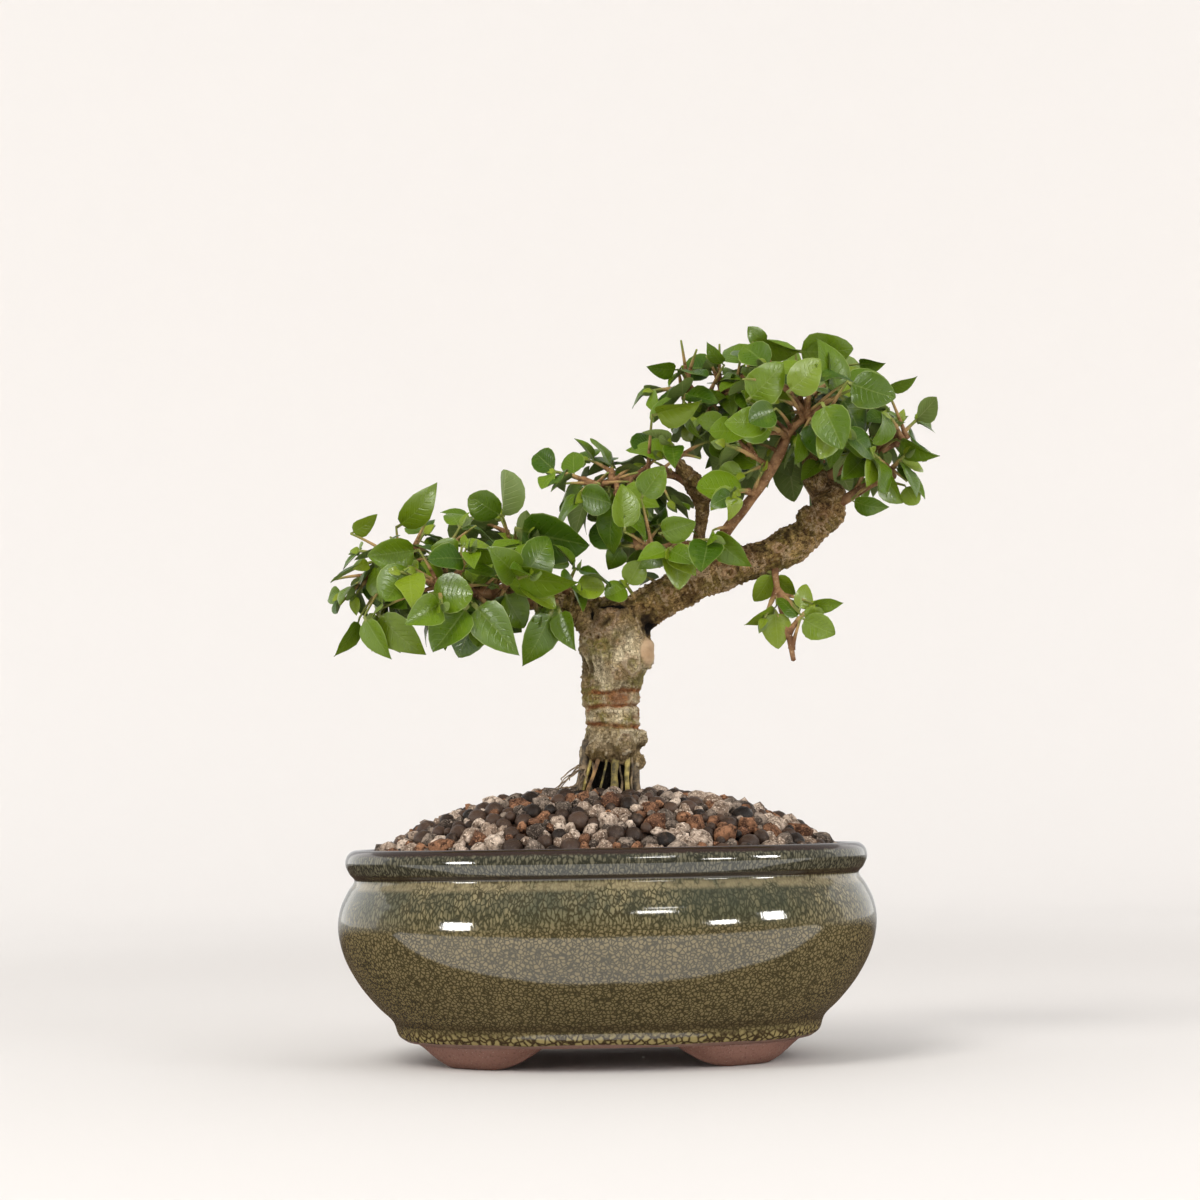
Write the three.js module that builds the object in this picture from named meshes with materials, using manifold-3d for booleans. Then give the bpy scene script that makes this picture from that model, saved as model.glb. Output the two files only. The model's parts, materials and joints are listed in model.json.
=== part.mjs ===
// A Chinese privet bonsai in a glazed oval pot, in millimetres, +Z up, seen from the front along +Y.
// The tree is one grown piece of wood that carries leafy shoots. It stands in a mound of coarse
// granules that fills the pot. The group is placed so that the middle of its box is over the origin.
import * as THREE from "three";
import { mergeVertices } from "three/addons/utils/BufferGeometryUtils.js";
import Module from "manifold-3d";

const wasm = await Module();
wasm.setup();

// Driving dimensions of the pot
const POT_LENGTH = 250;
const POT_WIDTH = 200;
const POT_HEIGHT = 98;
const POT_FLOOR_UNDER = 10.5;
const POT_FLOOR_TOP = 17.5;
const POT_ROUNDNESS = 2.3;
const BASE_HALF_LENGTH = 95;
const POT_SEGMENTS = 40;
const FOOT_HALF_LENGTH = 91.5;
const FOOT_SLANT = 9;
const FOOT_THICKNESS = 15;
const FOOT_START = THREE.MathUtils.degToRad(15.6);
const FOOT_END = THREE.MathUtils.degToRad(74.4);
const FOOT_FLAT_SHARE = 0.5;
const FOOT_END_THICKNESS = 0.8;
const FOOT_CLEARANCE = 0.05;
const DRAIN_HOLE_RADIUS = 8;
const DRAIN_HOLE_X = 46;

// Driving dimensions of what lies in the pot
const FIT_GAP = 0.35;
const SCREEN_SIDE = 34;
const SCREEN_THICKNESS = 1;
const SCREEN_HOLES = 3;
const SOIL_EDGE_HEIGHT = 91;
const MOUND_RISE = 30;
const MOUND_STEEPNESS = 3.2;
const MOUND_HALF_LENGTH = 111;
const GRANULE_RINGS = 15;
const GRANULE_TOP = 2.3;
const GRANULE_JITTER = 2.8;
const TRUNK_HOLE_RADIUS = 17.2;

// Driving dimensions of the foliage
const TWIG_SHORTEST = 15;
const BARE_SHARE = 0.36;
const TWIG_RADIUS = 1.1;
const SHOOT_RADIUS = 1;
const SHOOT_TIP_RADIUS = 0.7;
const SHOOT_GAP = 0.35;
const LEAF_SEAT = 0.2;
const RIB_THICKNESS = 1.1;
const LEAF_GAP = 1.3;
const SISTER_GAP = 0.3;
const LEAF_TRIES = 12;
const SEEDS_PER_SHOOT = 400;
const SEEDS_PER_LEAF = 20;
const SEED_STRIDE = 7919;
const GRANULE_SEED = 11;

// How wide a blade is, as a share of its whole width, at two places along its length.
const LEAF_RINGS = [
  [0.34, 0.9],
  [0.7, 0.78],
];

// A leaf's own form: its width over its length, and how far its tip arches back over its length.
const LEAF_KINDS = [
  { ratio: 0.68, curl: 0.14 },
  { ratio: 0.8, curl: 0.08 },
  { ratio: 0.6, curl: 0.2 },
  { ratio: 0.5, curl: 0.24 },
];

// The woody skeleton. Each row of a limb is x, y, z and the limb's radius there.
const TRUNK = [
  [0, 0, 104, 16],
  [0, 0, 120, 15.8],
  [2, 0, 132, 14.8],
  [3.6, 0, 146, 13.8],
  [4.2, 0, 158, 12.9],
  [4.4, 0, 169, 13.3],
  [4.9, 0, 180, 15],
  [5.4, 0, 190, 16.8],
  [5.8, 0, 200, 17],
  [5, 0, 208, 14.5],
  [4, 0, 213, 8],
];
const LIMBS = {
  bough: [
    [8, 0, 201, 10],
    [20, -2, 208.5, 9],
    [32, -4, 215.5, 8.2],
    [45, -4, 221, 7.8],
    [58, -4, 225.5, 7.8],
    [74, -2, 231.5, 8.4],
    [90, 0, 238.5, 8.2],
    [102, 2, 246.5, 7.6],
    [109, 4, 255, 7.8],
    [107, 6, 264, 7.2],
    [102, 8, 272, 5.6],
  ],
  leader: [
    [104, 7, 266, 5],
    [101, 9, 282, 4.2],
    [103, 10, 296, 3.4],
    [105, 10, 308, 2.6],
    [104, 10, 319, 1.8],
  ],
  diagonal: [
    [52, -4, 228, 5.5],
    [55, -8, 238, 3.4],
    [62, -13, 248, 2.8],
    [70, -17, 257.5, 2.5],
    [78, -20, 268, 2.4],
    [84, -22, 279, 2.2],
    [89, -24, 289, 1.9],
    [97, -25, 296, 1.4],
  ],
  low_left_twig: [
    [50, -6, 234, 3.2],
    [43, -11, 237, 2.3],
    [35, -15, 237.5, 1.8],
    [24, -21, 235, 1.2],
  ],
  middle: [
    [47, 0, 222, 4],
    [46, 5, 234, 3.2],
    [47, 5, 246, 2.8],
    [48.5, 1, 257, 3.4],
    [46, -2, 265, 4.4],
    [38, -4, 275, 3.4],
  ],
  middle_left: [
    [43, -3, 268, 2.6],
    [34, -5, 272, 1.8],
    [20, -8, 272, 1.5],
    [8, -8, 269, 1.2],
    [-3, -7, 268, 1],
  ],
  left_bough: [
    [2, 0, 202, 9.5],
    [-9, -1, 210.5, 7.5],
    [-22, -3, 214, 6],
    [-38, -6, 215, 5],
    [-54, -8, 217, 4],
    [-68, -8, 222, 3.2],
    [-82, -6, 228, 2.4],
    [-95, -4, 233, 1.6],
  ],
  left_front: [
    [-38, -6, 215, 3],
    [-50, -16, 216, 2.4],
    [-63, -24, 217, 1.9],
    [-75, -29, 219, 1.4],
  ],
  left_back: [
    [-24, -3, 214, 3.2],
    [-38, 10, 218, 2.4],
    [-52, 20, 221, 1.9],
    [-66, 26, 224, 1.4],
  ],
  left_top: [
    [-22, -3, 213, 2.8],
    [-28, 2, 224, 2],
    [-36, 5, 233, 1.6],
    [-43, 8, 241, 1.1],
  ],
  right_high: [
    [104, 6, 267, 3.2],
    [112, 4, 273, 2.4],
    [123, 2, 278, 2],
    [136, 0, 283.5, 1.5],
    [146, -2, 288, 1],
  ],
  right_low: [
    [108, 4, 256, 3.4],
    [117, 0, 260, 2.6],
    [128, -4, 266, 1.9],
    [138, -8, 269, 1.3],
  ],
  crown_left: [
    [102, 9, 284, 2.6],
    [88, 10, 296, 2.2],
    [70, 10, 305, 1.9],
    [53, 8, 312, 1.5],
    [40, 6, 315, 1.1],
  ],
  crown_back: [
    [102, 9, 279, 2.8],
    [96, 22, 290, 2.2],
    [86, 33, 300, 1.7],
    [74, 38, 307, 1.2],
  ],
  crown_back_right: [
    [102, 9, 276, 2.6],
    [114, 20, 288, 2],
    [126, 27, 295, 1.5],
  ],
  crown_front: [
    [102, 9, 291, 2.4],
    [99, -4, 301, 1.8],
    [94, -15, 306, 1.3],
  ],
  hanging_twig: [
    [82, -2, 234, 1.8],
    [82, -6, 222, 1.6],
    [84, -9, 209, 1.5],
    [87, -11, 196, 1.4],
    [89, -12, 183, 1.2],
  ],
};

// Thin limbs that are one node with the shoots they carry. Only their foot stays with the wood.
const LEAFY_LIMBS = ["middle_left", "hanging_twig"];
const LIMB_FOOT_SHARE = 0.3;

// Swellings where shoots were cut back and the bark grew over: x, y, z and radius.
const BURRS = [
  [17.5, -4, 187, 7.4],
  [15.5, -5, 148, 5.2],
  [15, -3, 137.5, 4.6],
  [51, -4, 231, 7.6],
  [112, 2, 252, 4],
  [103, 4, 270, 6],
];

// The leafy shoots, by the pad that they fill. Each row is the tip's x, y, z, the number of leaf
// pairs and the length of its leaves. A pad's middle tells its leaves which way is out.
const PADS = {
  left: {
    middle: [-72, 0, 222],
    tips: [
      [-122, -5, 218, 3, 17],
      [-115, 8, 240, 3, 18],
      [-108, -22, 231, 3, 25],
      [-103, -16, 207, 3, 26],
      [-84, 2, 247, 3, 24],
      [-92, -38, 225, 3, 25],
      [-73, -44, 210, 3, 28],
      [-66, -6, 249, 3, 24],
      [-60, -38, 234, 3, 24],
      [-50, -28, 206, 3, 26],
      [-47, 10, 254, 2, 28],
      [-33, -14, 243, 3, 29],
      [-33, -42, 222, 3, 28],
      [-30, -22, 205, 3, 26],
      [-68, 44, 229, 3, 25],
      [-40, 38, 236, 3, 24],
      [-98, 16, 216, 3, 24],
      [-12, -20, 227, 2, 22],
    ],
  },
  middle: {
    middle: [15, 2, 250],
    tips: [
      [-21, -2, 275, 3, 18],
      [-8, -18, 262, 3, 24],
      [6, 8, 279, 3, 22],
      [8, -28, 254, 3, 27],
      [23, -20, 267, 3, 23],
      [10, -14, 238, 3, 22],
      [20, 30, 262, 3, 24],
      [50, -32, 238, 2, 29],
      [34, -18, 285, 3, 25],
      [12, -12, 219, 1, 19],
    ],
  },
  crown: {
    middle: [90, 4, 284],
    tips: [
      [26, 4, 314, 3, 19],
      [40, -6, 321, 3, 20],
      [40, -22, 303, 3, 25],
      [57, 8, 325, 3, 21],
      [75, -8, 328, 3, 26],
      [78, -42, 316, 3, 26],
      [96, 2, 322, 3, 27],
      [98, -42, 311, 2, 29],
      [114, -12, 317, 3, 27],
      [117, -36, 306, 3, 26],
      [132, -4, 309, 3, 23],
      [135, -24, 296, 3, 25],
      [151, 2, 297, 2, 22],
      [112, -44, 286, 3, 27],
      [78, -46, 288, 3, 26],
      [58, -40, 281, 3, 25],
      [127, -29, 277, 3, 24],
      [143, -14, 278, 3, 21],
      [64, -36, 260, 3, 23],
      [50, 38, 306, 3, 24],
      [80, 48, 318, 3, 24],
      [112, 42, 314, 3, 24],
      [138, 26, 292, 3, 23],
      [64, 44, 284, 3, 25],
      [108, 44, 284, 3, 25],
    ],
  },
  hanging: {
    middle: [88, -4, 204],
    tips: [
      [97, -13, 207, 3, 17],
      [76, -12, 203, 2, 22],
    ],
  },
};

const materials = {
  glaze: new THREE.MeshStandardMaterial({ color: 0x5d6040, roughness: 0.18 }),
  clay: new THREE.MeshStandardMaterial({ color: 0x8a6450, roughness: 0.8 }),
  soil: new THREE.MeshStandardMaterial({ color: 0x75665a, roughness: 0.85 }),
  bark: new THREE.MeshStandardMaterial({ color: 0x8f7d5c, roughness: 0.85 }),
  leaf: new THREE.MeshStandardMaterial({ color: 0x4f8a2c, roughness: 0.4 }),
  screen: new THREE.MeshStandardMaterial({ color: 0x1c1c1c, roughness: 0.6 }),
};
const group = new THREE.Group();

function addMesh(name, solid, material) {
  const { vertProperties, triVerts, numProp } = solid.getMesh();
  const geometry = new THREE.BufferGeometry();
  const positions = new THREE.BufferAttribute(vertProperties, numProp);
  geometry.setAttribute("position", positions);
  geometry.setIndex(new THREE.BufferAttribute(triVerts, 1));
  geometry.computeVertexNormals();
  const mesh = new THREE.Mesh(geometry, material);
  mesh.name = name;
  group.add(mesh);
}

// A closed geometry as a solid for cutting and joining, turned to face outwards.
function solidOf(geometry) {
  const bare = geometry.clone();
  bare.deleteAttribute("normal");
  bare.deleteAttribute("uv");
  const merged = mergeVertices(bare, 1e-4);
  const triVerts = new Uint32Array(merged.index.array);
  const vertProperties = merged.attributes.position.array;
  const make = () =>
    new wasm.Manifold(new wasm.Mesh({ numProp: 3, vertProperties, triVerts }));
  const first = make();
  if (first.volume() >= 0) return first;
  for (let i = 0; i < triVerts.length; i += 3)
    [triVerts[i], triVerts[i + 1]] = [triVerts[i + 1], triVerts[i]];
  return make();
}

function mapVertices(geometry, map) {
  const position = geometry.attributes.position;
  const point = new THREE.Vector3();
  for (let i = 0; i < position.count; i++) {
    const moved = map(point.fromBufferAttribute(position, i));
    position.setXYZ(i, moved.x, moved.y, moved.z);
  }
  return geometry;
}

// A seeded draw from 0 to 1, so that every build grows the same tree.
function seededDraw(seed) {
  let state = seed;
  return () => {
    state = (state + 0x6d2b79f5) | 0;
    let t = Math.imul(state ^ (state >>> 15), 1 | state);
    t = (t + Math.imul(t ^ (t >>> 7), 61 | t)) ^ t;
    return ((t ^ (t >>> 14)) >>> 0) / 4294967296;
  };
}

// The pot's plan at a half length: a full oval, a constant amount narrower than it is long.
function ovalPoint(halfLength, angle, z) {
  const narrower = (POT_LENGTH - POT_WIDTH) / 2;
  const halfWidth = halfLength - narrower * Math.min(1, halfLength / BASE_HALF_LENGTH);
  const round = (value) => Math.sign(value) * Math.abs(value) ** (2 / POT_ROUNDNESS);
  return new THREE.Vector3(
    halfLength * round(Math.cos(angle)),
    halfWidth * round(Math.sin(angle)),
    z,
  );
}

// A profile of half lengths and heights, turned round the pot's plan.
function ovalSolid(profile, segments) {
  const points = profile.map(([halfLength, z]) => new THREE.Vector2(halfLength, z));
  const lathe = new THREE.LatheGeometry(points, segments);
  mapVertices(lathe, (p) => {
    const halfLength = Math.hypot(p.x, p.z);
    const angle = halfLength < 1e-6 ? 0 : Math.atan2(p.x, p.z);
    return ovalPoint(halfLength, angle, p.y);
  });
  return solidOf(lathe);
}

// The pot is thrown or cast: floor, belly, neck and rolled lip, with a drain hole at each end.
function potSolid() {
  const belly = POT_LENGTH / 2;
  const outside = [
    [0, POT_FLOOR_UNDER],
    [94.5, POT_FLOOR_UNDER],
    [97.8, 13.2],
    [100.3, 19.5],
    [107.5, 26.6],
    [115.7, 36.8],
    [122.2, 49],
    [belly, 61],
    [124, 71],
    [120.5, 79],
    [117.4, 84],
    [119.6, 87.2],
    [121.4, 91.5],
    [120.6, 95.6],
    [117.6, POT_HEIGHT],
  ];
  const inside = [
    [114, 97.4],
    [111.6, 93],
    [110.8, 85],
    [116.5, 72],
    [117.8, 61],
    [112.5, 44],
    [103, 30],
    [93, 20],
    [85, POT_FLOOR_TOP],
    [0, POT_FLOOR_TOP],
  ];
  const holes = [-DRAIN_HOLE_X, DRAIN_HOLE_X].map((x) => {
    const drill = new THREE.CylinderGeometry(DRAIN_HOLE_RADIUS, DRAIN_HOLE_RADIUS, 40, 14);
    drill.rotateX(Math.PI / 2).translate(x, 0, POT_FLOOR_UNDER);
    return solidOf(drill);
  });
  const body = ovalSolid([...outside, ...inside], POT_SEGMENTS);
  return body.subtract(wasm.Manifold.union(holes));
}

// A foot is a stretch of wall under the pot's rim line, flat below, that sweeps up at both ends.
// It is one with the real pot, and here a solid of its own, so that the way between the feet is open.
function footSolid(toLeft, toFront) {
  const footTop = POT_FLOOR_UNDER - FOOT_CLEARANCE;
  const block = new THREE.BoxGeometry(2, 1, 1, 8, 1, 1);
  mapVertices(block, (p) => {
    const along = p.x;
    const outwards = p.y + 0.5;
    const top = p.z > 0;
    const rise = Math.max(0, (Math.abs(along) - FOOT_FLAT_SHARE) / (1 - FOOT_FLAT_SHARE));
    const sweep = (footTop - FOOT_END_THICKNESS) * rise * rise * (3 - 2 * rise);
    const z = top ? footTop : sweep;
    const slant = FOOT_SLANT * (1 - z / footTop);
    const halfLength = FOOT_HALF_LENGTH - slant - FOOT_THICKNESS * (1 - outwards);
    const share = (FOOT_START + FOOT_END) / 2 + (along * (FOOT_END - FOOT_START)) / 2;
    const corner = ovalPoint(halfLength, share, z);
    return new THREE.Vector3(toLeft ? -corner.x : corner.x, toFront ? -corner.y : corner.y, z);
  });
  return solidOf(block);
}

// The plastic screen that keeps the granules from falling through a drain hole.
function screenSolid(x) {
  const pitch = SCREEN_SIDE / (SCREEN_HOLES + 0.5);
  const holeSide = pitch * 0.66;
  const middle = POT_FLOOR_TOP + FIT_GAP + SCREEN_THICKNESS / 2;
  const plate = new THREE.BoxGeometry(SCREEN_SIDE, SCREEN_SIDE, SCREEN_THICKNESS);
  const punches = [];
  for (let row = 0; row < SCREEN_HOLES; row++)
    for (let column = 0; column < SCREEN_HOLES; column++) {
      const punch = new THREE.BoxGeometry(holeSide, holeSide, 3 * SCREEN_THICKNESS);
      punch.translate(
        x + (column - (SCREEN_HOLES - 1) / 2) * pitch,
        (row - (SCREEN_HOLES - 1) / 2) * pitch,
        middle,
      );
      punches.push(solidOf(punch));
    }
  return solidOf(plate.translate(x, 0, middle)).subtract(wasm.Manifold.union(punches));
}

function moundHeight(share) {
  return SOIL_EDGE_HEIGHT + MOUND_RISE * (1 - share ** MOUND_STEEPNESS);
}

// The mound's top is a lattice of triangles drawn round to the pot's plan. Every third point of it
// is the crest of a granule, larger than life, and the points between are the dips round it.
function moundSolid() {
  const draw = seededDraw(GRANULE_SEED);
  const jitter = () => GRANULE_JITTER * (draw() - 0.5);
  const rings = GRANULE_RINGS;
  const vertices = [new THREE.Vector3(0, 0, SOIL_EDGE_HEIGHT - 15)];
  const indexAt = new Map();
  const key = (q, r) => `${q},${r}`;
  for (let q = -rings; q <= rings; q++)
    for (let r = Math.max(-rings, -q - rings); r <= Math.min(rings, rings - q); r++) {
      const ring = Math.max(Math.abs(q), Math.abs(r), Math.abs(q + r));
      const angle = Math.atan2((r * Math.sqrt(3)) / 2, q + r / 2);
      const share = ring / rings;
      const point = ovalPoint(MOUND_HALF_LENGTH * share, angle, moundHeight(share));
      if (ring < rings) {
        const crest = (q - r) % 3 === 0;
        point.x += jitter();
        point.y += jitter();
        point.z += crest ? GRANULE_TOP + jitter() : -GRANULE_TOP + jitter();
      }
      indexAt.set(key(q, r), vertices.push(point) - 1);
    }
  const faces = [];
  const open = new Map();
  const addFace = (a, b, c) => {
    if (a === undefined || b === undefined || c === undefined) return;
    faces.push(a, b, c);
    for (const [from, to] of [[a, b], [b, c], [c, a]])
      if (!open.delete(key(to, from))) open.set(key(from, to), [from, to]);
  };
  for (let q = -rings; q <= rings; q++)
    for (let r = -rings; r <= rings; r++) {
      const [here, right, up, corner] = [[0, 0], [1, 0], [0, 1], [1, 1]].map(([dq, dr]) =>
        indexAt.get(key(q + dq, r + dr)),
      );
      addFace(here, right, up);
      addFace(right, corner, up);
    }
  for (const [from, to] of open.values()) faces.push(to, from, 0);
  const geometry = new THREE.BufferGeometry().setFromPoints(vertices);
  geometry.setIndex(faces);
  return solidOf(geometry);
}

// The granules fill the pot and rise to a mound round the trunk.
function soilSolid() {
  const under = POT_FLOOR_TOP + FIT_GAP + SCREEN_THICKNESS + FIT_GAP;
  const profile = [
    [0, under],
    [89.6, under],
    [102.4, 30.6],
    [111.9, 44.4],
    [117.2, 61],
    [116, 72],
    [110.2, 85],
    [110.6, SOIL_EDGE_HEIGHT - 1],
    [0, SOIL_EDGE_HEIGHT - 1],
  ];
  const hole = new THREE.CylinderGeometry(TRUNK_HOLE_RADIUS, TRUNK_HOLE_RADIUS, 60, 20);
  hole.rotateX(Math.PI / 2).translate(0, 0, TRUNK[0][2] - FIT_GAP + 30);
  return ovalSolid(profile, POT_SEGMENTS / 2).add(moundSolid()).subtract(solidOf(hole));
}

function limbCurve(rows) {
  const points = rows.map(([x, y, z]) => new THREE.Vector3(x, y, z));
  return new THREE.CatmullRomCurve3(points, false, "catmullrom", 0.5);
}

function limbRadius(rows, t) {
  const place = t * (rows.length - 1);
  const i = Math.min(Math.floor(place), rows.length - 2);
  return THREE.MathUtils.lerp(rows[i][3], rows[i + 1][3], place - i);
}

// A closed cylinder bent along a curve, with its own radius at each height and turn.
function taperedSolid(curve, radiusAt, sides, steps) {
  const frames = curve.computeFrenetFrames(steps, false);
  const tube = new THREE.CylinderGeometry(1, 1, 1, sides, steps);
  mapVertices(tube, (p) => {
    const t = p.y + 0.5;
    const step = Math.round(t * steps);
    const turn = Math.atan2(p.z, p.x);
    const radius = Math.hypot(p.x, p.z) * radiusAt(t, turn);
    return curve
      .getPoint(step / steps)
      .addScaledVector(frames.normals[step], Math.cos(turn) * radius)
      .addScaledVector(frames.binormals[step], Math.sin(turn) * radius);
  });
  return solidOf(tube);
}

// The trunk: a stout stem with root ridges at its foot, swelling to where the boughs part.
function trunkSolid() {
  const ridges = 7;
  return taperedSolid(
    limbCurve(TRUNK),
    (t, turn) => {
      const flare = Math.max(0, 0.34 - t) / 0.34;
      const ridge = 1 - 0.13 * flare * (1 - Math.cos(ridges * turn)) * (t > 0.12 ? 1 : 0);
      return limbRadius(TRUNK, t) * ridge * (1 + 0.03 * Math.sin(5 * turn + 9 * t));
    },
    19,
    11,
  );
}

// Every woody point that a shoot can spring from, with its leafy limb if it is past that one's foot.
const woodyPoints = [];
for (const [limb, rows] of Object.entries(LIMBS)) {
  const curve = limbCurve(rows);
  const steps = rows.length * 4;
  for (let i = 2; i <= steps; i++) {
    const t = i / steps;
    const leafyLimb = LEAFY_LIMBS.includes(limb) && t > LIMB_FOOT_SHARE ? limb : null;
    woodyPoints.push({ point: curve.getPoint(t), radius: limbRadius(rows, t), leafyLimb });
  }
}

// A twig springs from the nearest wood that leaves it room, and rises a little on its way out.
function twigTo(tip) {
  let best = null;
  for (const woody of woodyPoints) {
    const length = woody.point.distanceTo(tip);
    if (length >= TWIG_SHORTEST && (!best || length < best.length)) best = { ...woody, length };
  }
  const bend = best.point.clone().lerp(tip, 0.5);
  bend.z += 0.08 * best.length;
  const curve = new THREE.QuadraticBezierCurve3(best.point, bend, tip);
  const bare = Math.max(BARE_SHARE, (best.radius + 3) / best.length);
  return { curve, bare, length: best.length, leafyLimb: best.leafyLimb };
}

const shoots = [];
for (const [pad, { middle, tips }] of Object.entries(PADS))
  for (const [x, y, z, pairs, leafLength] of tips) {
    const twig = twigTo(new THREE.Vector3(x, y, z));
    shoots.push({ ...twig, pad, pairs, leafLength, middle: new THREE.Vector3(...middle) });
  }

function stretchOf(curve, from, to) {
  const part = new THREE.Curve();
  part.getPoint = (t) => curve.getPoint(from + (to - from) * t);
  return part;
}

// What a leaf has to keep clear of, as straight pieces with a radius.
const woodPieces = [];
function addPieces(curve, radiusAt, steps, owner) {
  for (let i = 0; i < steps; i++)
    woodPieces.push({
      from: curve.getPoint(i / steps),
      to: curve.getPoint((i + 1) / steps),
      radius: radiusAt((i + 0.5) / steps),
      owner,
    });
}
addPieces(limbCurve(TRUNK), (t) => limbRadius(TRUNK, t), 10, -1);
for (const rows of Object.values(LIMBS))
  addPieces(limbCurve(rows), (t) => limbRadius(rows, t), rows.length * 2, -1);
shoots.forEach(({ curve }, i) => addPieces(curve, () => TWIG_RADIUS, 6, i));

// A leaf as a flat oval plate: its middle, its long and cross directions and its face.
function plateOf(leaf) {
  const middle = leaf.base
    .clone()
    .addScaledVector(leaf.along, leaf.length * 0.57)
    .addScaledVector(leaf.face, -leaf.kind.curl * leaf.length * 0.3);
  return {
    middle,
    along: leaf.along,
    cross: leaf.cross,
    face: leaf.face,
    long: leaf.length * 0.45,
    wide: leaf.length * leaf.kind.ratio * 0.5,
  };
}

function platePoints(plate) {
  const points = [];
  for (let i = 0; i < 8; i++) {
    const turn = (i * Math.PI) / 4;
    points.push(
      plate.middle
        .clone()
        .addScaledVector(plate.along, Math.cos(turn) * plate.long)
        .addScaledVector(plate.cross, Math.sin(turn) * plate.wide),
    );
  }
  return points;
}

// Whether a straight piece comes through a plate, or closer to it than the gap.
function pieceMeets(plate, from, to, gap) {
  const a = from.clone().sub(plate.middle);
  const b = to.clone().sub(plate.middle);
  const highA = a.dot(plate.face);
  const highB = b.dot(plate.face);
  const inside = (p) => {
    const u = p.dot(plate.along) / (plate.long + gap);
    const v = p.dot(plate.cross) / (plate.wide + gap);
    return u * u + v * v < 1;
  };
  if (Math.abs(highA) < gap && inside(a)) return true;
  if (Math.abs(highB) < gap && inside(b)) return true;
  if (highA * highB >= 0) return false;
  return inside(a.lerp(b, highA / (highA - highB)));
}

function platesMeet(one, other) {
  const gap = one.shoot === other.shoot ? SISTER_GAP : LEAF_GAP;
  const reach = one.long + other.long + gap;
  if (one.middle.distanceTo(other.middle) > reach) return false;
  const crosses = (plate, points) =>
    points.some((p, i) => {
      const next = points[(i + 1) % points.length];
      const opposite = points[(i + 4) % points.length];
      return pieceMeets(plate, p, next, gap) || pieceMeets(plate, p, opposite, gap);
    });
  return crosses(other, platePoints(one)) || crosses(one, platePoints(other));
}

// A leaf's place and form: it leaves the shoot sideways, hangs a little and faces the light.
function leafOn(shoot, pair, side, draw) {
  const last = pair === shoot.pairs - 1;
  const step = shoot.pairs > 1 ? pair / (shoot.pairs - 1) : 1;
  const t = shoot.bare + (1 - shoot.bare) * (0.22 + 0.74 * step);
  const node = shoot.curve.getPoint(t);
  const stem = shoot.curve.getTangent(t);
  const out = node.clone().sub(shoot.middle).divideScalar(45);
  const light = out.add(new THREE.Vector3(0, -0.35, 0.5));
  light.add(new THREE.Vector3(draw() - 0.5, draw() - 0.5, draw() - 0.5).multiplyScalar(1.1));
  const sideways = new THREE.Vector3().crossVectors(stem, light).normalize();
  const turn = (pair % 2 ? 0.95 : 0) + 0.5 * (draw() - 0.5);
  sideways.applyAxisAngle(stem, turn).multiplyScalar(side);
  const angle = (last ? 0.9 : 1.15) + 0.3 * (draw() - 0.5);
  const along = stem
    .clone()
    .multiplyScalar(Math.cos(angle))
    .addScaledVector(sideways, Math.sin(angle));
  along.z -= 0.1 + 0.3 * draw();
  along.normalize();
  const face = light.addScaledVector(along, -light.dot(along)).normalize();
  const cross = new THREE.Vector3().crossVectors(face, along);
  const kind = LEAF_KINDS[Math.floor(draw() * LEAF_KINDS.length)];
  const length = shoot.leafLength * (last ? 0.82 : 1) * (0.8 + 0.36 * draw());
  const base = node.addScaledVector(along, LEAF_SEAT);
  return { base, along, cross, face, kind, length };
}

// Each leaf is drawn anew until it is clear of the wood and of every leaf before it.
const plates = [];
function placeLeaves(shoot, index) {
  const leaves = [];
  for (let pair = 0; pair < shoot.pairs; pair++)
    for (const side of [-1, 1])
      for (let attempt = 0; attempt < LEAF_TRIES; attempt++) {
        const place = index * SEEDS_PER_SHOOT + (2 * pair + (side > 0 ? 1 : 0)) * SEEDS_PER_LEAF;
        const leaf = leafOn(shoot, pair, side, seededDraw((place + attempt) * SEED_STRIDE));
        const plate = { ...plateOf(leaf), shoot: index };
        const blocked =
          woodPieces.some(
            (piece) =>
              piece.owner !== index &&
              pieceMeets(plate, piece.from, piece.to, piece.radius + LEAF_GAP * 0.6),
          ) || plates.some((other) => platesMeet(plate, other));
        if (blocked) continue;
        plates.push(plate);
        leaves.push(leaf);
        break;
      }
  return leaves;
}

// A blade with its rib: it widens from its stalk through two rings of three points, one at each
// edge and one on the rib, and narrows to its tip.
function leafSolid({ base, along, cross, face, kind, length }) {
  const at = (u, sideways, up) =>
    base
      .clone()
      .addScaledVector(along, length * u)
      .addScaledVector(face, -kind.curl * length * u * u + up)
      .addScaledVector(cross, sideways);
  const vertices = [at(0, 0, 0)];
  for (const [u, share] of LEAF_RINGS) {
    const wide = share * kind.ratio * length * 0.5;
    vertices.push(at(u, -wide, 0), at(u, 0, RIB_THICKNESS), at(u, wide, 0));
  }
  const tip = vertices.push(at(1, 0, 0)) - 1;
  const faces = [];
  for (let k = 0; k < 3; k++) {
    const near = 1 + k;
    const nearNext = 1 + ((k + 1) % 3);
    faces.push(0, near, nearNext, near + 3, tip, nearNext + 3);
    faces.push(near, near + 3, nearNext + 3, near, nearNext + 3, nearNext);
  }
  const geometry = new THREE.BufferGeometry().setFromPoints(vertices);
  geometry.setIndex(faces);
  return solidOf(geometry);
}

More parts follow.
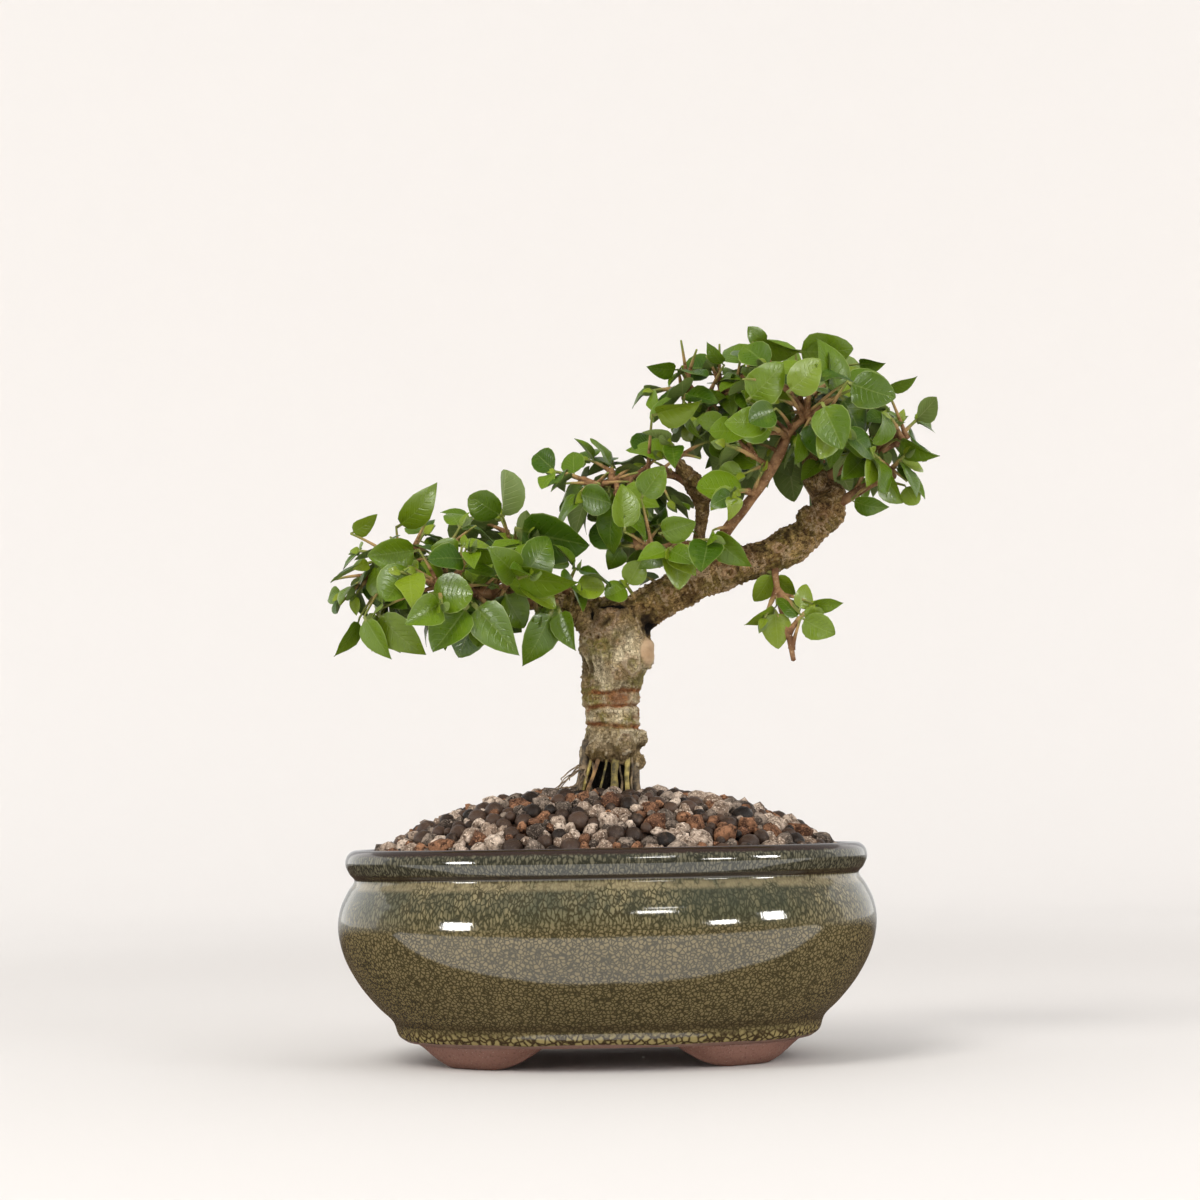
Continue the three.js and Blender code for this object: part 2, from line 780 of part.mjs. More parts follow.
addMesh("pot", potSolid(), materials.glaze);
addMesh("pot_foot_front_left", footSolid(true, true), materials.clay);
addMesh("pot_foot_front_right", footSolid(false, true), materials.clay);
addMesh("pot_foot_back_left", footSolid(true, false), materials.clay);
addMesh("pot_foot_back_right", footSolid(false, false), materials.clay);
addMesh("drain_screen_left", screenSolid(-DRAIN_HOLE_X), materials.screen);
addMesh("drain_screen_right", screenSolid(DRAIN_HOLE_X), materials.screen);
addMesh("soil", soilSolid(), materials.soil);

// The wood: trunk, limbs, burrs and the bare foot of each twig, grown as one. A leafy limb gives it
// only its foot. The rest of the limb goes with its shoots.
const woodParts = [trunkSolid()];
const limbSolids = {};
for (const [limb, rows] of Object.entries(LIMBS)) {
  const thick = rows[0][3] > 5;
  const limbStretch = (from, to, sides, steps) =>
    taperedSolid(
      stretchOf(limbCurve(rows), from, to),
      (t) => limbRadius(rows, THREE.MathUtils.lerp(from, to, t)),
      sides,
      steps,
    );
  if (LEAFY_LIMBS.includes(limb)) {
    woodParts.push(limbStretch(0, LIMB_FOOT_SHARE, 5, 1));
    const start = LIMB_FOOT_SHARE + SHOOT_GAP / limbCurve(rows).getLength();
    limbSolids[limb] = limbStretch(start, 1, 5, rows.length - 2);
  } else if (thick) woodParts.push(limbStretch(0, 1, 9, Math.round(rows.length * 1.3)));
  else woodParts.push(limbStretch(0, 1, 5, rows.length - 1));
}
for (const [x, y, z, radius] of BURRS)
  woodParts.push(solidOf(new THREE.IcosahedronGeometry(radius, 0).translate(x, y, z)));
for (const { curve, bare, leafyLimb } of shoots)
  if (!leafyLimb) woodParts.push(taperedSolid(stretchOf(curve, 0, bare), () => TWIG_RADIUS, 3, 1));
const wood = wasm.Manifold.union(woodParts);
addMesh("tree_wood", wood, materials.bark);

// The stem of a shoot carries on from its bare foot, or springs straight from its leafy limb.
const stems = shoots.map(({ curve, bare, length, leafyLimb }) => {
  const start = leafyLimb ? 0 : bare + SHOOT_GAP / length;
  return taperedSolid(
    stretchOf(curve, start, 1),
    (t) => THREE.MathUtils.lerp(SHOOT_RADIUS, SHOOT_TIP_RADIUS, t),
    3,
    3,
  );
});
const boxesMeet = (a, b) =>
  [0, 1, 2].every((i) => a.min[i] <= b.max[i] && b.min[i] <= a.max[i]);
const solidsMeet = (a, b) =>
  boxesMeet(a.boundingBox(), b.boundingBox()) && a.intersect(b).volume() > 0;
const branches = [wood, ...Object.values(limbSolids)];
const placed = shoots.map((shoot, i) => ({ leaves: placeLeaves(shoot, i), solids: [stems[i]] }));
placed.forEach(({ leaves, solids }, i) => {
  for (const leaf of leaves) {
    const blade = leafSolid(leaf);
    const clear =
      !branches.some((branch) => solidsMeet(blade, branch)) &&
      placed.every((other, j) => j === i || !other.solids.some((s) => solidsMeet(blade, s)));
    if (clear) solids.push(blade);
  }
});

// Each leafy shoot with its leaves grown on, then each leafy limb with all the shoots it carries.
placed.forEach(({ solids }, i) => {
  const name = `leafy_shoot_${shoots[i].pad}_${String(i + 1).padStart(2, "0")}`;
  if (!shoots[i].leafyLimb) addMesh(name, wasm.Manifold.union(solids), materials.leaf);
});
for (const limb of LEAFY_LIMBS) {
  const carried = placed.filter((_, i) => shoots[i].leafyLimb === limb);
  const solids = [limbSolids[limb], ...carried.flatMap((shoot) => shoot.solids)];
  addMesh(`leafy_limb_${limb}`, wasm.Manifold.union(solids), materials.leaf);
}

// The middle of the whole box goes over the origin, with the feet on the ground.
const box = new THREE.Box3().setFromObject(group);
const middle = box.getCenter(new THREE.Vector3());
group.position.set(-middle.x, -middle.y, 0);

export default group;
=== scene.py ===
import json
import math
import random

import bmesh
import bpy
import numpy as np
from mathutils import Matrix, Vector, kdtree, noise

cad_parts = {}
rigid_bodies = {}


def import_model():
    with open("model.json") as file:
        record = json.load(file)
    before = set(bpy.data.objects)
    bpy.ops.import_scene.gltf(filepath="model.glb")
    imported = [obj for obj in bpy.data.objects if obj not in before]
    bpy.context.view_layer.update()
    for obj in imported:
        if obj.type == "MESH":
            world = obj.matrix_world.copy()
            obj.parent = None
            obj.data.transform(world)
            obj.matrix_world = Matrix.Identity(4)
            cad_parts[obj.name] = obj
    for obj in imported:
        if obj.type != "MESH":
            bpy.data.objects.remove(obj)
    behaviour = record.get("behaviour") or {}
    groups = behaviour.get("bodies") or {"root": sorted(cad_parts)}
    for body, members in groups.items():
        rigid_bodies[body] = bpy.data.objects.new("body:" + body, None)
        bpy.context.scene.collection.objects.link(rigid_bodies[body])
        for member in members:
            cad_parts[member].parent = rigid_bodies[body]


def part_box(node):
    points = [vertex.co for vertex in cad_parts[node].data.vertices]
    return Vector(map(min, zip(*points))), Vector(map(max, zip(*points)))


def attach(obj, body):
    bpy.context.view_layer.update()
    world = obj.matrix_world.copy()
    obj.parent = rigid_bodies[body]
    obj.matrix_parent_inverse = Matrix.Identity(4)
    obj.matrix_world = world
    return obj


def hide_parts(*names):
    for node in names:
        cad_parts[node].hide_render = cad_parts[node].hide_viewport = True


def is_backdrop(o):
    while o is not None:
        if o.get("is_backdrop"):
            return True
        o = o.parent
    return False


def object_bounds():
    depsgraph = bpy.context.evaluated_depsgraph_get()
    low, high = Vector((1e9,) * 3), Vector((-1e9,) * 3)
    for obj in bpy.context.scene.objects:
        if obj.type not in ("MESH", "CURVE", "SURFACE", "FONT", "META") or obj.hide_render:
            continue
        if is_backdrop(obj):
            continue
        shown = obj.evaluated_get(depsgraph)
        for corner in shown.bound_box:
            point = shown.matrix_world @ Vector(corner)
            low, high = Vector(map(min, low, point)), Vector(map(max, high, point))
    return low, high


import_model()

cad_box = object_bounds()
pot_low, pot_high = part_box("pot")
POT_X = (pot_low.x + pot_high.x) / 2

# The studio: a pale floor that curves up all round like a shallow bowl, soft light from above and
# from the front, and small lamps and a pale card that show only as reflections in the glaze.
# The camera stands in front, level with the top of the pot, and looks up a little.
FLOOR_RADIUS = 1.7
FLOOR_TURNS = 96
BOWL_BEND = 0.9
BOWL_STEPS = 12
BOWL_TOP = 1.9
LAMP_AIM = Vector((0, 0, 0.2))
WINDOWS_ROUND = Vector((POT_X, 0, 0.06))
WINDOWS_AWAY = 1.5
CAMERA_DISTANCE = 1.188
CAMERA_HEIGHT = 0.1099
CAMERA_PITCH = 5.0
CAMERA_ROLL = -1.0
CAMERA_SIDE = -0.0008
LENS_MM = 75.7


def mesh_object(name, points, faces, smooth=True):
    """A piece made from points in metres and faces that list them."""
    mesh = bpy.data.meshes.new(name)
    mesh.from_pydata([tuple(p) for p in points], [], [tuple(int(i) for i in f) for f in faces])
    mesh.polygons.foreach_set("use_smooth", [smooth] * len(mesh.polygons))
    mesh.update()
    made = bpy.data.objects.new(name, mesh)
    bpy.context.scene.collection.objects.link(made)
    return made


def ring_faces(rings, columns, capped=False):
    """Faces between rings of points, and one over each end if capped."""
    faces = [
        (r * columns + c, r * columns + (c + 1) % columns,
         (r + 1) * columns + (c + 1) % columns, (r + 1) * columns + c)
        for r in range(rings - 1)
        for c in range(columns)
    ]
    if capped:
        faces.append(tuple(range(columns - 1, -1, -1)))
        faces.append(tuple((rings - 1) * columns + c for c in range(columns)))
    return faces


def round_rings(profile, count, x=0):
    """Round rings of points at the radii and heights of a profile."""
    turns = np.linspace(0, 2 * math.pi, count, endpoint=False)
    return [(x + r * math.cos(t), r * math.sin(t), z) for r, z in profile for t in turns]


class Value:
    """What a node gives. Sums and products of it, and colours mixed by it, are nodes too."""

    def __init__(self, nodes, socket):
        self.nodes = nodes
        self.socket = socket

    def calc(self, operation, *others):
        """One step of arithmetic with this and other values."""
        made = self.nodes.tree.nodes.new("ShaderNodeMath")
        made.operation = operation
        for socket, value in zip(made.inputs, (self, *others)):
            self.nodes.put(value, socket)
        return Value(self.nodes, made.outputs[0])

    def __add__(self, other):
        return self.calc("ADD", other)

    def __sub__(self, other):
        return self.calc("SUBTRACT", other)

    def __mul__(self, other):
        return self.calc("MULTIPLY", other)

    def __truediv__(self, other):
        return self.calc("DIVIDE", other)

    def __abs__(self):
        return self.calc("ABSOLUTE")

    def step(self, low, high, start=0.0, end=1.0):
        """A smooth change from start to end while this goes from low to high."""
        return self.nodes.add(
            "ShaderNodeMapRange", 0, {"interpolation_type": "SMOOTHSTEP"}, Value=self,
            From_Min=low, From_Max=high, To_Min=start, To_Max=end,
        )

    def band(self, low, rise, fall, high):
        """One from rise to fall, and nothing below low or above high."""
        return self.step(low, rise) * self.step(fall, high, 1.0, 0.0)

    def between(self, one, other):
        """Two numbers mixed by this as the share."""
        made = self.nodes.tree.nodes.new("ShaderNodeMix")
        for place, value in ((0, self), (2, one), (3, other)):
            self.nodes.put(value, made.inputs[place])
        return Value(self.nodes, made.outputs[0])

    def mix(self, one, other):
        """Two colours mixed by this as the share."""
        made = self.nodes.tree.nodes.new("ShaderNodeMix")
        made.data_type = "RGBA"
        for place, value in ((0, self), (6, one), (7, other)):
            self.nodes.put(value, made.inputs[place])
        return Value(self.nodes, made.outputs[2])

    def towards(self, colour, share):
        """This colour mixed with another, which takes the share."""
        return share.mix(self, colour)


class Nodes:
    """A node tree as it is built. An input takes a plain value or what another node gives."""

    def __init__(self, tree):
        self.tree = tree

    def put(self, value, socket):
        """Links a node's output to an input, or sets the input to a plain value."""
        if isinstance(value, Value):
            self.tree.links.new(value.socket, socket)
        else:
            socket.default_value = (*value, 1.0) if socket.type == "RGBA" else value

    def add(self, kind, output=0, options=None, **values):
        """A new node with its options and inputs, and the one of its outputs that is used."""
        made = self.tree.nodes.new(kind)
        for key, value in (options or {}).items():
            setattr(made, key, value)
        for key, value in values.items():
            self.put(value, made.inputs[key.replace("_", " ")])
        return Value(self, made.outputs[output]) if made.outputs else made


class Finish(Nodes):
    """A new material as it is built, with its shader and the place of the point being shaded."""

    def __init__(self, name):
        self.material = bpy.data.materials.new(name)
        self.material.use_nodes = True
        super().__init__(self.material.node_tree)
        self.shader = self.tree.nodes["Principled BSDF"]
        self.place = self.add("ShaderNodeTexCoord", "Object")

    def set(self, **values):
        """Sets or links the shader's own inputs."""
        for key, value in values.items():
            self.put(value, self.shader.inputs[key.replace("_", " ")])

    def noise(self, scale, detail, place=None, **more):
        """Cloudy noise, from nothing to one."""
        place = place or self.place
        return self.add("ShaderNodeTexNoise", "Fac", Vector=place, Scale=scale, Detail=detail, **more)

    def dots(self, scale):
        """How far the point is from the nearest of many scattered dots."""
        return self.add("ShaderNodeTexVoronoi", "Distance", Vector=self.place, Scale=scale)

    def cells(self, scale, place):
        """How far the point is from the edge of the cell it lies in."""
        options = {"feature": "DISTANCE_TO_EDGE"}
        return self.add("ShaderNodeTexVoronoi", 0, options, Vector=place, Scale=scale)

    def stretched(self, place, upwards):
        """The place on a surface whose height is scaled."""
        return self.add("ShaderNodeMapping", 0, Vector=place, Scale=(1.0, 1.0, upwards))

    def relief(self, height, strength, distance):
        """Small relief that is only shaded."""
        bump = self.add("ShaderNodeBump", 0, Height=height, Strength=strength, Distance=distance)
        self.set(Normal=bump)


bowl = [(0.0005, 0.0), (0.3, 0.0), (0.8, 0.0), (FLOOR_RADIUS, 0.0)]
for step in range(1, BOWL_STEPS + 1):
    turn = step / BOWL_STEPS * math.pi / 2
    bowl.append((FLOOR_RADIUS + BOWL_BEND * math.sin(turn), BOWL_BEND * (1 - math.cos(turn))))
bowl.append((FLOOR_RADIUS + BOWL_BEND, BOWL_TOP))
floor_points = round_rings(bowl, FLOOR_TURNS)
floor = mesh_object("studio_floor", floor_points, ring_faces(len(bowl), FLOOR_TURNS))
paper = Finish("pale_paper")
away = paper.add("ShaderNodeVectorMath", "Value", {"operation": "LENGTH"}, Vector=paper.place)
# The floor is painted darker near its middle and paler far out: painted shade.
tone = away.step(0.7, 1.9).mix((0.70, 0.676, 0.656), (0.86, 0.839, 0.822))
paper.set(Base_Color=tone, Roughness=0.9)
floor.data.materials.append(paper.material)
floor.visible_glossy = False
floor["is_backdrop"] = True

# The air round it is near white. In reflections it is dark towards the camera, bright behind the
# pot and grey above, as in a room.
world = bpy.data.worlds.new("studio_air")
bpy.context.scene.world = world
world.use_nodes = True
air = Nodes(world.node_tree)
air.tree.nodes.clear()
direction = air.add("ShaderNodeTexCoord", "Generated")
backwards, upwards = (air.add("ShaderNodeSeparateXYZ", axis, Vector=direction) for axis in "YZ")
shine = backwards.step(-0.5, 0.35).mix((0.09, 0.088, 0.085), (0.85, 0.85, 0.85))
shine = shine.towards((0.42, 0.42, 0.42), upwards.step(0.25, 0.8))
shine = shine.towards((0.10, 0.07, 0.055), upwards.step(-0.12, 0.02, 1.0, 0.0))
tone = air.add("ShaderNodeLightPath", "Is Glossy Ray").mix((1.0, 0.992, 0.982), shine)
air.add("ShaderNodeOutputWorld", Surface=air.add("ShaderNodeBackground", Color=tone, Strength=0.86))


def soft_lamp(name, place, side, power, colour):
    """A square soft lamp that lights the tree and doesn't show in the glaze."""
    lamp = bpy.data.lights.new(name, "AREA")
    lamp.size = side
    lamp.energy = power
    lamp.color = colour
    made = bpy.data.objects.new(name, lamp)
    made.location = place
    made.rotation_euler = (LAMP_AIM - Vector(place)).to_track_quat("-Z", "Y").to_euler()
    made.visible_glossy = False
    made.visible_camera = False
    bpy.context.scene.collection.objects.link(made)


soft_lamp("key_lamp", (-1.1, -1.5, 2.3), 1.1, 40, (1.0, 0.98, 0.95))
soft_lamp("fill_lamp", (1.3, -1.2, 1.0), 1.0, 10, (0.97, 0.98, 1.0))


def shine_card(name, corners, colour, strength):
    """A flat card off camera that shows only as a reflection."""
    card = mesh_object(name, corners, [(0, 1, 2, 3)], smooth=False)
    finish = bpy.data.materials.new(name + "_light")
    finish.use_nodes = True
    nodes = Nodes(finish.node_tree)
    nodes.tree.nodes.clear()
    glow = nodes.add("ShaderNodeEmission", Color=colour, Strength=strength)
    nodes.add("ShaderNodeOutputMaterial", Surface=glow)
    card.data.materials.append(finish)
    card.visible_camera = False
    card.visible_diffuse = False
    card.visible_shadow = False
    card.visible_transmission = False
    card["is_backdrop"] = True


# Each lit window: its turn to the right of the camera and its rise above the ground, in degrees,
# half its width and height in metres, and its brightness.
for name, turn, rise, wide, high, strength in (
    ("left_window", -46.5, 6.5, 0.15, 0.15, 45),
    ("middle_window", 11, 25, 0.12, 0.06, 24),
    ("upper_middle_window", 14, 32, 0.1, 0.04, 12),
    ("near_right_window", 32, 7, 0.12, 0.07, 45),
    ("far_right_window", 54, 13, 0.14, 0.13, 45),
    ("left_paper", -124, 16, 0.8, 0.42, 1.6),
    ("right_paper", 128, 16, 0.7, 0.42, 1.5),
):
    turn = math.radians(turn)
    rise = math.radians(rise)
    out = Vector((math.sin(turn) * math.cos(rise), -math.cos(turn) * math.cos(rise), math.sin(rise)))
    side = Vector((math.cos(turn), math.sin(turn), 0))
    up = side.cross(out)
    if up.z < 0:
        up = -up
    middle = WINDOWS_ROUND + out * WINDOWS_AWAY
    ways = ((-1, -1), (1, -1), (1, 1), (-1, 1))
    corners = [middle + side * (wide * a) + up * (high * b) for a, b in ways]
    shine_card(name, corners, (1.0, 0.99, 0.97), strength)
front_paper = [(-2.4, -0.50, -0.04), (2.4, -0.50, -0.04), (0.9, -0.13, -0.04), (-0.9, -0.13, -0.04)]
shine_card("front_paper", front_paper, (1.0, 0.985, 0.95), 2.1)

camera = bpy.data.cameras.new("photo_camera")
camera.lens = LENS_MM
camera.sensor_width = 36
camera.clip_start = 0.05
camera_object = bpy.data.objects.new("photo_camera", camera)
bpy.context.scene.collection.objects.link(camera_object)
camera_object.matrix_world = (
    Matrix.Translation((POT_X + CAMERA_SIDE, -CAMERA_DISTANCE, CAMERA_HEIGHT))
    @ Matrix.Rotation(math.radians(90 + CAMERA_PITCH), 4, "X")
    @ Matrix.Rotation(math.radians(CAMERA_ROLL), 4, "Z")
)
bpy.context.scene.camera = camera_object
bpy.context.scene.view_settings.view_transform = "Standard"

# The pot: stoneware with an oval plan, thrown with a full belly, a narrow neck and a rolled lip.
# Its glaze crawled into small pale cells over a dark ground as it was fired. The clay is bare under
# the foot line, where four feet carry it, and two drain holes go through the floor.
POT_ROUNDNESS = 2.3
BASE_HALF_LENGTH = 95.0
POT_NARROWER = 25.0
POT_FLOOR_UNDER = 10.5
POT_FLOOR_TOP = 17.5
FOOT_LINE = 92.6
POT_TURNS = 176
ROWS_PER_STEP = 5
MIDDLE = 0.4
DRAIN_HOLE_X = 46.0
DRAIN_HOLE_RADIUS = 8.0
DRAIN_HOLE_TURNS = 40
DRILL_FROM = 5.0
DRILL_TO = 25.0
FLAT_FROM = 0.995
OUTSIDE = [
    (94.5, 10.5), (97.8, 13.2), (100.3, 19.5), (107.5, 26.6), (115.7, 36.8), (122.2, 49), (125, 61),
    (124, 71), (120.5, 79), (117.4, 84), (119.6, 87.2), (121.4, 91.5), (120.6, 95.6), (117.6, 98),
]
INSIDE = [
    (114, 97.4), (111.6, 93), (110.8, 85), (116.5, 72), (117.8, 61), (112.5, 44), (103, 30), (93, 20),
    (85, POT_FLOOR_TOP),
]


def placed(points):
    """Points in millimetres round the pot's middle, in metres in the frame."""
    return np.asarray(points, float) / 1000 + (POT_X, 0, 0)


def curve_point(points, t):
    """A point on a smooth line through the given points, at a share of its whole way."""
    last = len(points) - 1
    place = last * t
    i = min(int(place), last - 1)
    w = place - i
    before = points[i - 1] if i > 0 else 2 * points[0] - points[1]
    after = points[i + 2] if i + 2 <= last else 2 * points[last] - points[last - 1]
    a, b = points[i], points[i + 1]
    go, come = 0.5 * (b - before), 0.5 * (after - a)
    return a + go * w + (3 * (b - a) - 2 * go - come) * w**2 + (2 * (a - b) + go + come) * w**3


def oval_point(half_length, angle):
    """The pot's plan at a half length: a full oval, narrower than it is long."""
    half_width = half_length - POT_NARROWER * min(1, half_length / BASE_HALF_LENGTH)
    c, s = math.cos(angle), math.sin(angle)
    power = 2 / POT_ROUNDNESS
    x = half_length * math.copysign(abs(c) ** power, c)
    return x, half_width * math.copysign(abs(s) ** power, s)


def oval_rings(profile, turns):
    """The pot's plan at each half length and height of a profile."""
    return [
        (*oval_point(half_length, 2 * math.pi * turn / turns), z)
        for half_length, z in profile
        for turn in range(turns)
    ]


def plain_mesh(piece):
    """Keeps what a piece's modifiers make of it as its own plain mesh, and removes them."""
    state = bpy.context.evaluated_depsgraph_get()
    ready = piece.evaluated_get(state)
    plain = bpy.data.meshes.new_from_object(ready, preserve_all_data_layers=True, depsgraph=state)
    plain.name = piece.name
    piece.modifiers.clear()
    piece.data = plain


# Its skin runs under the floor, up the outside, over the lip and down the inside.
wall = np.array(OUTSIDE + INSIDE, float)
wall_steps = (len(wall) - 1) * ROWS_PER_STEP
profile = [(r, POT_FLOOR_UNDER) for r in (MIDDLE, 20, 50, 75, 88, FOOT_LINE)]
profile += [tuple(curve_point(wall, i / wall_steps)) for i in range(wall_steps + 1)]
profile += [(r, POT_FLOOR_TOP) for r in (80, 60, 30, MIDDLE)]
faces = ring_faces(len(profile), POT_TURNS, capped=True)
pot = mesh_object("glazed_pot", placed(oval_rings(profile, POT_TURNS)), faces)
for x in (-DRAIN_HOLE_X, DRAIN_HOLE_X):
    ends = [(DRAIN_HOLE_RADIUS, DRILL_FROM), (DRAIN_HOLE_RADIUS, DRILL_TO)]
    points = round_rings(ends, DRAIN_HOLE_TURNS, x)
    drill = mesh_object("drill", placed(points), ring_faces(2, DRAIN_HOLE_TURNS, capped=True))
    cut = pot.modifiers.new("drain_hole", "BOOLEAN")
    cut.operation = "DIFFERENCE"
    cut.object = drill
    cut.solver = "EXACT"
    plain_mesh(pot)
    bpy.data.objects.remove(drill)
for face in pot.data.polygons:
    face.use_smooth = abs(face.normal.z) < FLAT_FROM


class Group(Nodes):
    """A node tree of its own, with named inputs and outputs, for finishes or pieces to use."""

    def __init__(self, name, kind, inputs, outputs):
        super().__init__(bpy.data.node_groups.new(name, kind + "NodeTree"))
        for way, sockets in (("INPUT", inputs), ("OUTPUT", outputs)):
            for label, sort in sockets.items():
                self.tree.interface.new_socket(label, in_out=way, socket_type="NodeSocket" + sort)
        given = self.tree.nodes.new("NodeGroupInput")
        self.given = {label: Value(self, given.outputs[label]) for label in inputs}


# What more than one finish uses: clouds of a coarse and a fine noise, for colour and for relief.
CLOUDS_IN = {"Place": "Vector", "Coarse": "Float", "Fine": "Float"}
clouds = Group("Clouds", "Shader", CLOUDS_IN, {"Patches": "Float", "Grit": "Float"})
patches, grit = (
    clouds.add(
        "ShaderNodeTexNoise", "Fac", Vector=clouds.given["Place"], Scale=clouds.given[scale],
        Detail=detail, Roughness=0.6,
    )
    for scale, detail in (("Coarse", 3.0), ("Fine", 5.0))
)
clouds.add("NodeGroupOutput", Patches=patches, Grit=grit)


def clouds_in(finish, coarse, fine):
    """The clouds in a finish, with its own scales. Gives patches and grit."""
    options = {"node_tree": clouds.tree}
    patches = finish.add("ShaderNodeGroup", "Patches", options, Place=finish.place, Coarse=coarse, Fine=fine)
    return patches, Value(finish, patches.socket.node.outputs["Grit"])


def glaze_finish():
    """Olive glaze: khaki cells on a dark ground, streaked below the neck, dark on the lip."""
    glaze = Finish("olive_glaze")
    height = glaze.add("ShaderNodeSeparateXYZ", "Z", Vector=glaze.place) * 1000.0
    patches, grit = clouds_in(glaze, 22.0, 420.0)
    level = height + (patches - 0.5) * 9.0

    wander = glaze.add("ShaderNodeTexNoise", "Color", Vector=glaze.place, Scale=380.0, Detail=2.0)
    push = glaze.add("ShaderNodeVectorMath", 0, {"operation": "SCALE"}, Vector=wander, Scale=0.0016)
    bent = glaze.add("ShaderNodeVectorMath", 0, {"operation": "ADD"}, Vector=glaze.place)
    glaze.put(push, bent.socket.node.inputs[1])
    high = level.step(60.0, 70.0)
    drips = glaze.cells(640.0, glaze.stretched(bent, 0.34))
    spots = high.between(glaze.cells(560.0, bent), drips).step(0.03, 0.26)
    big_spots = glaze.cells(330.0, bent).step(0.03, 0.26)

    ground = patches.mix((0.036, 0.031, 0.014), (0.058, 0.048, 0.022))
    belly = patches.mix((0.175, 0.138, 0.066), (0.235, 0.185, 0.09))
    top = patches.step(0.42, 0.62).mix((0.15, 0.14, 0.078), (0.25, 0.21, 0.11))
    body = spots.mix(ground, high.mix(belly, top))
    shade = glaze.noise(13.0, 1.0).step(0.48, 0.66) * high
    body = body.towards((0.036, 0.046, 0.030), shade * 0.45)
    runs = glaze.noise(260.0, 3.0, glaze.stretched(glaze.place, 0.12))
    below_neck = level.step(67.0, 74.0) * height.step(79.5, 81.5, 1.0, 0.0)
    body = body.towards((0.030, 0.036, 0.022), below_neck * runs.step(0.42, 0.56) * 0.5)
    neck = height.band(79.0, 81.5, 83.0, 84.5) * runs.step(0.3, 0.62)
    body = body.towards((0.30, 0.245, 0.135), neck * 0.6)
    low_edge = big_spots.mix((0.045, 0.030, 0.015), (0.33, 0.27, 0.115))
    body = body.towards(low_edge, height.step(14.0, 19.0, 1.0, 0.0))
    body = body.towards((0.035, 0.024, 0.012), height.band(17.0, 19.0, 19.5, 22.5) * 0.55)
    lip = spots.mix((0.030, 0.030, 0.020), (0.13, 0.12, 0.078))
    body = body.towards(lip, height.step(86.0, 88.0))
    # Painted shade: darker in the groove under the lip.
    body = body.towards((0.030, 0.020, 0.012), height.band(84.0, 85.2, 86.2, 87.6))
    body = body.towards((0.030, 0.017, 0.012), (height + grit * 2.0).step(95.9, 97.2))

    clay = grit.mix((0.16, 0.082, 0.056), (0.30, 0.175, 0.135))
    glazed = (height + (patches - 0.5) * 3.0).step(11.6, 12.2)
    roughness = glazed.step(0.0, 1.0, 0.75, 0.07)
    glaze.set(Base_Color=glazed.mix(clay, body), Roughness=roughness, IOR=1.52)
    glaze.relief(glaze.noise(34.0, 1.0) + spots * 0.02, 0.25, 0.0012)
    return glaze.material


pot.data.materials.clear()
pot.data.materials.append(glaze_finish())
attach(pot, "root")
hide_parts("pot")

# The feet: four bare clay lugs under the foot line, each a rounded bowl of clay pressed on and
# fettled flat below.
FOOT_FROM = math.radians(15.6)
FOOT_TO = math.radians(71.0)
FOOT_ALONG = 28
FOOT_ROUND = [
    (0.0, 1.0), (-0.9, 0.86), (-2.0, 0.66), (-3.4, 0.44), (-5.2, 0.24), (-7.4, 0.09), (-10.0, 0.0),
    (-13.5, 0.02), (-16.4, 0.14), (-18.4, 0.4), (-19.4, 0.7), (-19.8, 1.0),
]
FOOT_UNDER_POT = 0.02
FOOT_ENDS_BELOW = 0.2
FOOT_FLAT_SHARE = 0.3
FOOT_SOLE_FROM = -9


def foot_mesh(mirror_x, mirror_y):
    """A foot as rows across it: outer wall, rounded sole and inner wall, swept up at both ends."""
    points = []
    for step in range(FOOT_ALONG + 1):
        along = 2 * step / FOOT_ALONG - 1
        rise = max(0.0, (abs(along) - FOOT_FLAT_SHARE) / (1 - FOOT_FLAT_SHARE))
        lift = rise**2.2 * (POT_FLOOR_UNDER - FOOT_ENDS_BELOW)
        angle = (FOOT_FROM + FOOT_TO) / 2 + along * (FOOT_TO - FOOT_FROM) / 2
        for inwards, share in FOOT_ROUND:
            z = share * (POT_FLOOR_UNDER - FOOT_UNDER_POT) + (1 - share) * lift
            pull = inwards if inwards < FOOT_SOLE_FROM else inwards * (1 + 0.5 * rise)
            x, y = oval_point(FOOT_LINE + pull, angle)
            points.append((x * mirror_x, y * mirror_y, z))
    faces = ring_faces(FOOT_ALONG + 1, len(FOOT_ROUND), capped=True)
    if mirror_x * mirror_y < 0:
        faces = [tuple(reversed(face)) for face in faces]
    return points, faces


# Bare stoneware: red-brown, dull, with fine grog and a few bright specks painted as glints of light.
clay = Finish("bare_clay")
patches, grit = clouds_in(clay, 60.0, 900.0)
tone = patches.mix((0.20, 0.090, 0.060), (0.30, 0.148, 0.108))
tone = tone.towards((0.13, 0.065, 0.045), grit.step(0.55, 0.72))
# Painted highlight: small bright glints drawn in the colour.
tone = tone.towards((0.62, 0.50, 0.44), clay.dots(700.0).step(0.06, 0.16, 1.0, 0.0) * 0.55)
clay.set(Base_Color=tone, Roughness=grit.step(0.3, 0.7, 0.5, 0.8))
clay.relief(grit, 0.5, 0.0005)
for name, mirror_x, mirror_y in (
    ("front_left", -1, -1), ("front_right", 1, -1), ("back_left", -1, 1), ("back_right", 1, 1)
):
    points, faces = foot_mesh(mirror_x, mirror_y)
    foot = mesh_object("clay_foot_" + name, placed(points), faces)
    foot.data.materials.append(clay.material)
    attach(foot, "root")
    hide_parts("pot_foot_" + name)

# The drain screens: two squares of black moulded plastic mesh. They lie loose on the pot's floor
# over its two drain holes, and the granules hold them down.
SCREEN_SIZES = {"Side": 0.034, "Pitch": 0.0024, "Bar": 0.0008}
SCREEN_MIDDLE = 18.35


